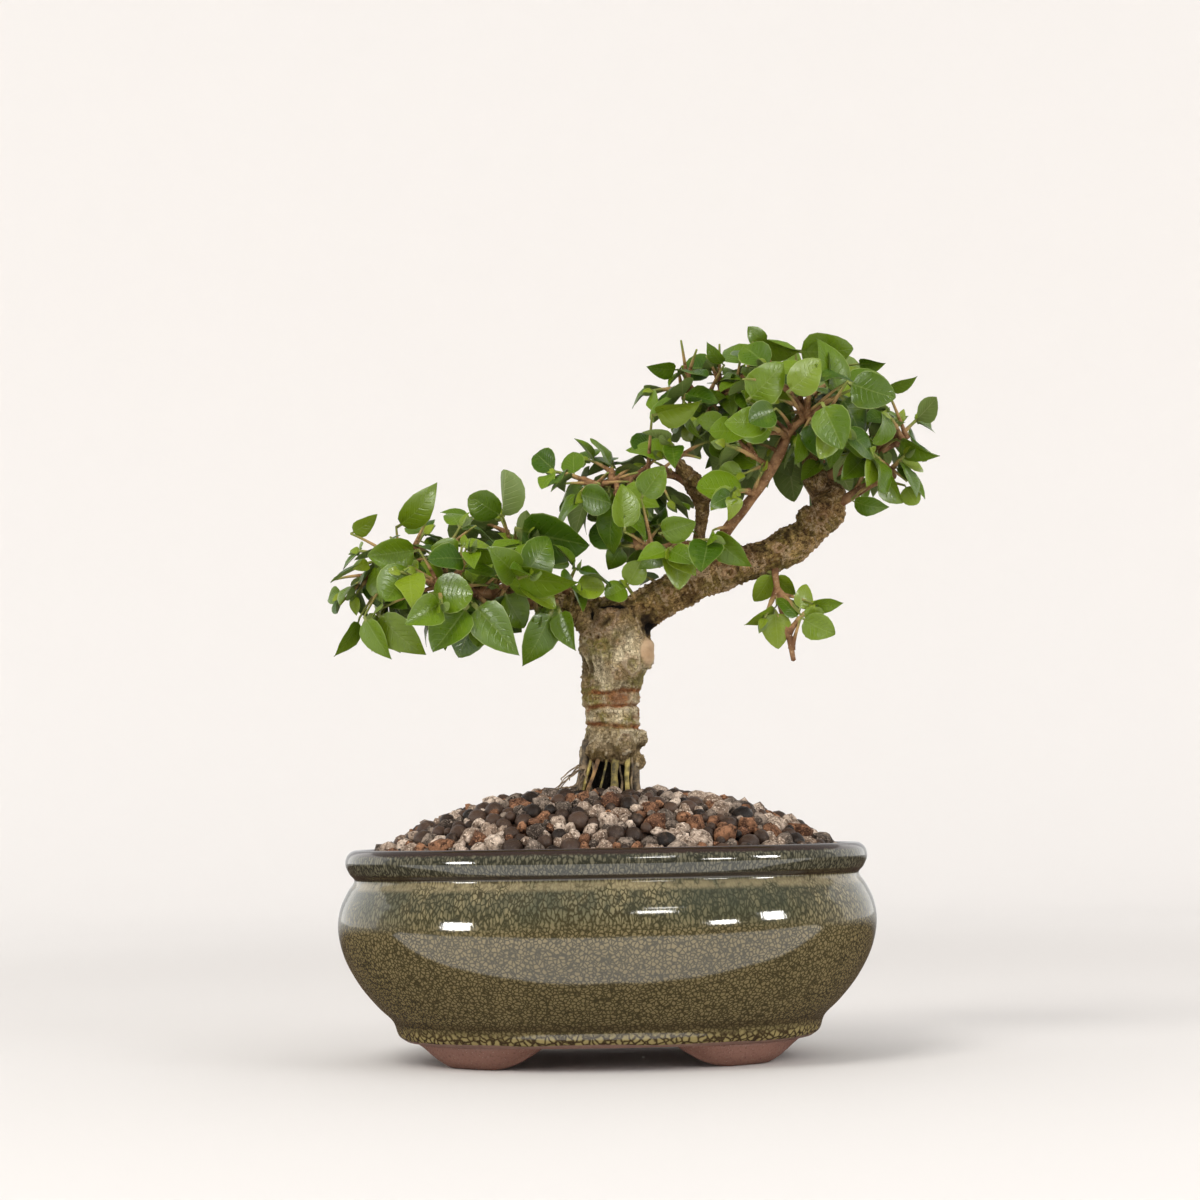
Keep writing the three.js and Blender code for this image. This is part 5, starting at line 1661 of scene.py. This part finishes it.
def leaf_on(shoot, pair, side, draw):
    """Where a leaf goes: its base, long, cross and face directions, kind and length."""
    last = pair == shoot["pairs"] - 1
    t = leaf_spot(shoot, pair)
    node = bend_point(shoot["bend"], t)
    stem = bend_way(shoot["bend"], t)
    light = (node - shoot["middle"]) / 45 + (0, -0.35, 0.5)
    light = light + 1.1 * np.array([draw() - 0.5, draw() - 0.5, draw() - 0.5])
    turn = (0.95 if pair % 2 else 0) + 0.5 * (draw() - 0.5)
    sideways = turned(unit(np.cross(stem, light)), stem, turn) * side
    angle = (0.9 if last else 1.15) + 0.3 * (draw() - 0.5)
    along = stem * math.cos(angle) + sideways * math.sin(angle)
    along = unit(along - (0, 0, 0.1 + 0.3 * draw()))
    face = unit(light - along * (light @ along))
    cross = np.cross(face, along)
    kind = int(draw() * len(LEAF_KINDS))
    length = shoot["leaf_length"] * (0.82 if last else 1) * (0.8 + 0.36 * draw())
    return node + along * LEAF_SEAT, along, cross, face, kind, length


def plate_of(leaf, owner):
    """A leaf as a flat oval plate: middle, long, cross and face directions, half sizes, owner."""
    base, along, cross, face, kind, length = leaf
    ratio, curl = LEAF_KINDS[kind]
    middle = base + along * length * 0.57 - face * curl * length * 0.3
    return middle, along, cross, face, length * 0.45, length * ratio * 0.5, owner


def pieces_meet(plate, starts, ends, gaps):
    """Whether any straight piece comes through a plate, or closer to it than its gap."""
    middle, along, cross, face, long, wide, _ = plate
    a, b = starts - middle, ends - middle
    high_a, high_b = a @ face, b @ face

    def inside(p):
        return ((p @ along) / (long + gaps)) ** 2 + ((p @ cross) / (wide + gaps)) ** 2 < 1

    near = (np.abs(high_a) < gaps) & inside(a) | (np.abs(high_b) < gaps) & inside(b)
    through = high_a * high_b < 0
    share = np.where(through, high_a / np.where(through, high_a - high_b, 1), 0)
    return bool((near | through & inside(a + (b - a) * share[:, None])).any())


def plate_lines(plate):
    """The lines round a plate's edge and across it."""
    middle, along, cross, _, long, wide, _ = plate
    turns = np.arange(8) * math.pi / 4
    rim = middle + np.outer(np.cos(turns) * long, along) + np.outer(np.sin(turns) * wide, cross)
    return np.vstack([rim, rim]), np.vstack([np.roll(rim, -1, axis=0), np.roll(rim, -4, axis=0)])


def plates_meet(one, other):
    """Whether two leaves come through each other or too close."""
    gap = SISTER_GAP if one[6] == other[6] else LEAF_GAP
    return pieces_meet(other, *plate_lines(one), gap) or pieces_meet(one, *plate_lines(other), gap)


# Every stretch of wood and stem that the leaves keep clear of: start, end, gap and whose stem.
wood_starts, wood_ends, wood_gaps, wood_owners = [], [], [], []


def keep_clear(line, radii, owner):
    """Adds the stretches of a stem to what the leaves keep clear of."""
    wood_starts.extend(line[:-1])
    wood_ends.extend(line[1:])
    wood_gaps.extend(r + LEAF_GAP * 0.6 for r in radii)
    wood_owners.extend([owner] * (len(line) - 1))


for rows, steps in [(TRUNK, 10)] + [(rows, len(rows) * 2) for rows in LIMBS.values()]:
    rows = np.array(rows, float)
    line = [curve_point(rows[:, :3], i / steps) for i in range(steps + 1)]
    middles = (np.arange(steps) + 0.5) / steps * (len(rows) - 1)
    keep_clear(line, np.interp(middles, range(len(rows)), rows[:, 3]), -1)
for owner, shoot in enumerate(shoots):
    radius = 0.7 if shoot["side_shoot"] else 1.1
    keep_clear([bend_point(shoot["bend"], i / 6) for i in range(7)], [radius] * 6, owner)
main_count = wood_owners.index(len(main_shoots))
wood_starts, wood_ends = np.array(wood_starts), np.array(wood_ends)
wood_gaps, wood_owners = np.array(wood_gaps), np.array(wood_owners)
plates = []
plate_middles = np.zeros((MOST_LEAVES, 3))
plate_longs = np.zeros(MOST_LEAVES)


def grow_leaf(shoot, leaf, plate):
    """Puts a leaf on its shoot and notes the room it takes."""
    plate_middles[len(plates)] = plate[0]
    plate_longs[len(plates)] = plate[4]
    plates.append(plate)
    shoot["leaves"].append(leaf)


def set_leaf(shoot):
    """The single leaf at a shoot's tip, from there to its own tip, turned so far from the front."""
    x, y, z, kind, seen, _ = shoot["set_leaf"]
    base = shoot["bend"][2]
    reach = np.array((x, y, z)) - base
    along = unit(reach)
    face = unit(np.cross(along, np.cross((0.0, -1.0, 0.1), along)))
    face = turned(face, along, math.acos(seen) * (1 if along[0] > 0 else -1))
    return base, along, np.cross(face, along), face, kind, np.linalg.norm(reach) * 1.06


def has_room(plate):
    """Whether a leaf's plate is clear of all the leaves before it."""
    known = len(plates)
    away = np.linalg.norm(plate_middles[:known] - plate[0], axis=1)
    close = np.flatnonzero(away < plate_longs[:known] + plate[4] + LEAF_GAP)
    return not any(plates_meet(plate, plates[i]) for i in close)


for owner, shoot in enumerate(shoots):
    shoot["leaves"] = []
    if "set_leaf" in shoot:
        leaf = set_leaf(shoot)
        grow_leaf(shoot, leaf, plate_of(leaf, owner))
        continue
    others = wood_owners != owner
    if not shoot["side_shoot"]:
        others[main_count:] = False
    stems_near = wood_starts[others], wood_ends[others], wood_gaps[others]
    for pair in range(shoot["pairs"]):
        for side in (-1, 1):
            place = owner * SEEDS_PER_SHOOT + (2 * pair + (side > 0)) * SEEDS_PER_LEAF
            for attempt in range(LEAF_TRIES):
                leaf = leaf_on(shoot, pair, side, seeded_draw((place + attempt) * SEED_STRIDE))
                plate = plate_of(leaf, owner)
                if shoot["side_shoot"] and hides_wood(leaf):
                    continue
                if not pieces_meet(plate, *stems_near) and has_room(plate):
                    grow_leaf(shoot, leaf, plate)
                    break


def leaf_shape(number):
    """A closed thin blade, one long, that stands on its stalk at the start, with its layers."""
    kind, form = number % len(LEAF_KINDS), number // len(LEAF_KINDS)
    ratio, curl = LEAF_KINDS[kind]
    broader, widest, sharpness = LEAF_OUTLINES[kind]
    peak = 0.55 / (0.55 + sharpness)
    highest = peak**0.55 * (1 - peak) ** sharpness
    fold, sway, twist, more_curl = LEAF_FORMS[form]
    points, layers = [], []
    for u in LEAF_RINGS:
        blade = max(0.0, (u - STALK_END) / (1 - STALK_END))
        share = 0.0
        if 0 < blade < 1:
            share = (blade**widest) ** 0.55 * (1 - blade**widest) ** sharpness / highest
        wide = max(share * ratio * broader * 0.5, STALK_WIDTH * 0.5 * (1 - u))
        c, s = math.cos(twist * blade), math.sin(twist * blade)
        for v, under in LEAF_ACROSS:
            across = v * wide
            wave = sway * math.sin(6 * u + (0.9 if v > 0 else 0)) * v * wide
            lift = fold * abs(v) * wide - 0.03 * share + wave
            thick = LEAF_THICKNESS * (0.5 - under) * (1 - abs(v)) * (1 if share else 2)
            lift += (0.12 * wide if abs(v) == 0.5 else 0.0) + thick
            across, lift = across * c - lift * s, across * s + lift * c
            arch = (curl + more_curl) * u**2
            points.append((u - 0.3 * arch, across + sway * 0.15 * u**2, lift - arch))
            layers.append((u, v, under))
    columns = len(LEAF_ACROSS)
    faces = [tuple(reversed(face)) for face in ring_faces(len(LEAF_RINGS), columns, capped=True)]
    made = mesh_object(f"leaf_{number:02d}", points, faces)
    for label, values in zip(("blade_u", "blade_v", "under"), zip(*layers)):
        carry(made, label, values)
    for edge in made.data.edges:
        a, b = (i % columns for i in edge.vertices)
        edge.use_edge_sharp = a == b and a in (0, 4)
    return made


leaf_folder = bpy.data.collections.new("leaf_shapes")
for number in range(len(LEAF_KINDS) * len(LEAF_FORMS)):
    made = leaf_shape(number)
    bpy.context.scene.collection.objects.unlink(made)
    leaf_folder.objects.link(made)


def leaf_finish():
    """Glossy privet leaf: mid green with a faint midrib and side veins, paler underneath."""
    leaf = Finish("privet_leaf")
    tone, u, v, under = (carried_in(leaf, label) for label in ("tone", "blade_u", "blade_v", "under"))
    patches, grit = clouds_in(leaf, 75.0, 700.0)
    across = abs(v)
    below = under.step(0.01, 0.06)
    veins = abs((u * 9.0 - across * 2.2).calc("FRACT") - 0.5)
    vein = veins.step(0.0, 0.14, 1.0, 0.0) * across.step(0.4, 0.95, 1.0, 0.0)
    rib = across.step(0.01, 0.06, 1.0, 0.0)
    green = tone.step(0.0, 0.75).mix((0.036, 0.088, 0.001), (0.122, 0.205, 0.004))
    green = green.towards((0.22, 0.285, 0.014), tone.step(0.65, 1.0))
    green = green.towards((0.16, 0.24, 0.012), patches.step(0.48, 0.72) * 0.4)
    green = green.towards((0.26, 0.35, 0.08), vein * 0.08)
    green = green.towards((0.30, 0.38, 0.10), rib * 0.24)
    green = green.towards((0.33, 0.40, 0.12), across.step(0.93, 0.99) * 0.5)
    underside = rib.calc("MAXIMUM", vein * 0.6).mix((0.17, 0.24, 0.055), (0.27, 0.33, 0.11))
    green = green.towards(underside, below)
    green = green.towards((0.22, 0.25, 0.06), u.step(0.07, 0.14, 1.0, 0.0))
    roughness = grit.step(0.3, 0.7, 0.26, 0.42) + below * 0.25
    leaf.set(Base_Color=green, Roughness=roughness, Specular_IOR_Level=0.38)
    leaf.relief(vein * -0.5 + grit * 0.35, 0.4, 0.0005)
    return leaf.material


leaf_skin = leaf_finish()
blades = scatter_tree("Leaves on their shoots")
single_plates = [plate for plate in plates if "set_leaf" in shoots[plate[6]]]


def is_in_the_way(leaf):
    """Whether a leaf hides a limb or comes through one of the single leaves."""
    plate = plate_of(leaf, -1)
    near = [other for other in single_plates if np.linalg.norm(other[0] - plate[0]) < other[4] + plate[4]]
    return hides_wood(leaf) or any(plates_meet(plate, other) for other in near)


def tip_leaves(shoot, rng):
    """The two small leaves that still fold round the tip of a shoot."""
    way = bend_way(shoot["bend"], 1.0)
    side = unit(np.cross(way, (0.2, 0.3, 1)))
    for turn in (-1, 1) if shoot["pairs"] else ():
        small = shoot["leaf_length"] * rng.uniform(0.3, 0.42)
        along = unit(way + side * turn * rng.uniform(0.35, 0.7))
        face = unit(np.cross(along, np.cross(way, along)) * -1 + way * 0.1)
        face = unit(face - along * (face @ along))
        yield bend_point(shoot["bend"], 0.985), along, None, face, 3, small


def to_the_light(face, along, base, shoot, rng):
    """A leaf's face turned towards the sky, the more so the higher it grows, and tilted a little."""
    freedom = 1.0 if shoot["side_shoot"] else MAIN_FREEDOM
    upper = within((base[2] - shoot["middle"][2] + 10) / 35)
    face = face + (0, 0, LEVEL_ABOVE * upper * freedom)
    return turned(unit(face - along * (face @ along)), along, rng.gauss(0, LEAF_TILT * freedom))


rng = random.Random(77)
for pad in PADS:
    mine = [shoot for shoot in shoots if shoot["pad"] == pad]
    rows = []
    for shoot in mine:
        leaves = [leaf for leaf in shoot["leaves"] if "set_leaf" in shoot or not is_in_the_way(leaf)]
        for base, along, _, face, kind, length in leaves + list(tip_leaves(shoot, rng)):
            if "set_leaf" not in shoot:
                face = to_the_light(face, along, base, shoot, rng)
            shape = kind + len(LEAF_KINDS) * rng.randrange(len(LEAF_FORMS))
            tone = rng.uniform(0.8, 1.0) if length < YOUNG_LENGTH else rng.uniform(0, 0.86)
            if "set_leaf" in shoot:
                tone = shoot["set_leaf"][5]
            rows.append((base, face, along, [length / 1000] * 3, shape, tone))
    foliage = points_object("leaves_" + pad, *zip(*rows))
    grown(foliage, blades, {"Shapes": leaf_folder, "Finish": leaf_skin})
    stems = [stem_part(shoot, shoot["bare"], 1.0, GREEN_STEM_SIDES) for shoot in mine]
    green_stems = stem_piece("green_stems_" + pad, stems, young_bark)
    names = sorted({shoot["node"] for shoot in mine if not shoot["side_shoot"]})
    for piece in (foliage, green_stems):
        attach(piece, "root")
        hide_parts(*names)

# The whole object's box, gathered next to the solid part's box.
low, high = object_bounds()
({
        "cad": [[float(v) for v in corner] for corner in cad_box],
        "scene": [[float(v) for v in low], [float(v) for v in high]],
    })
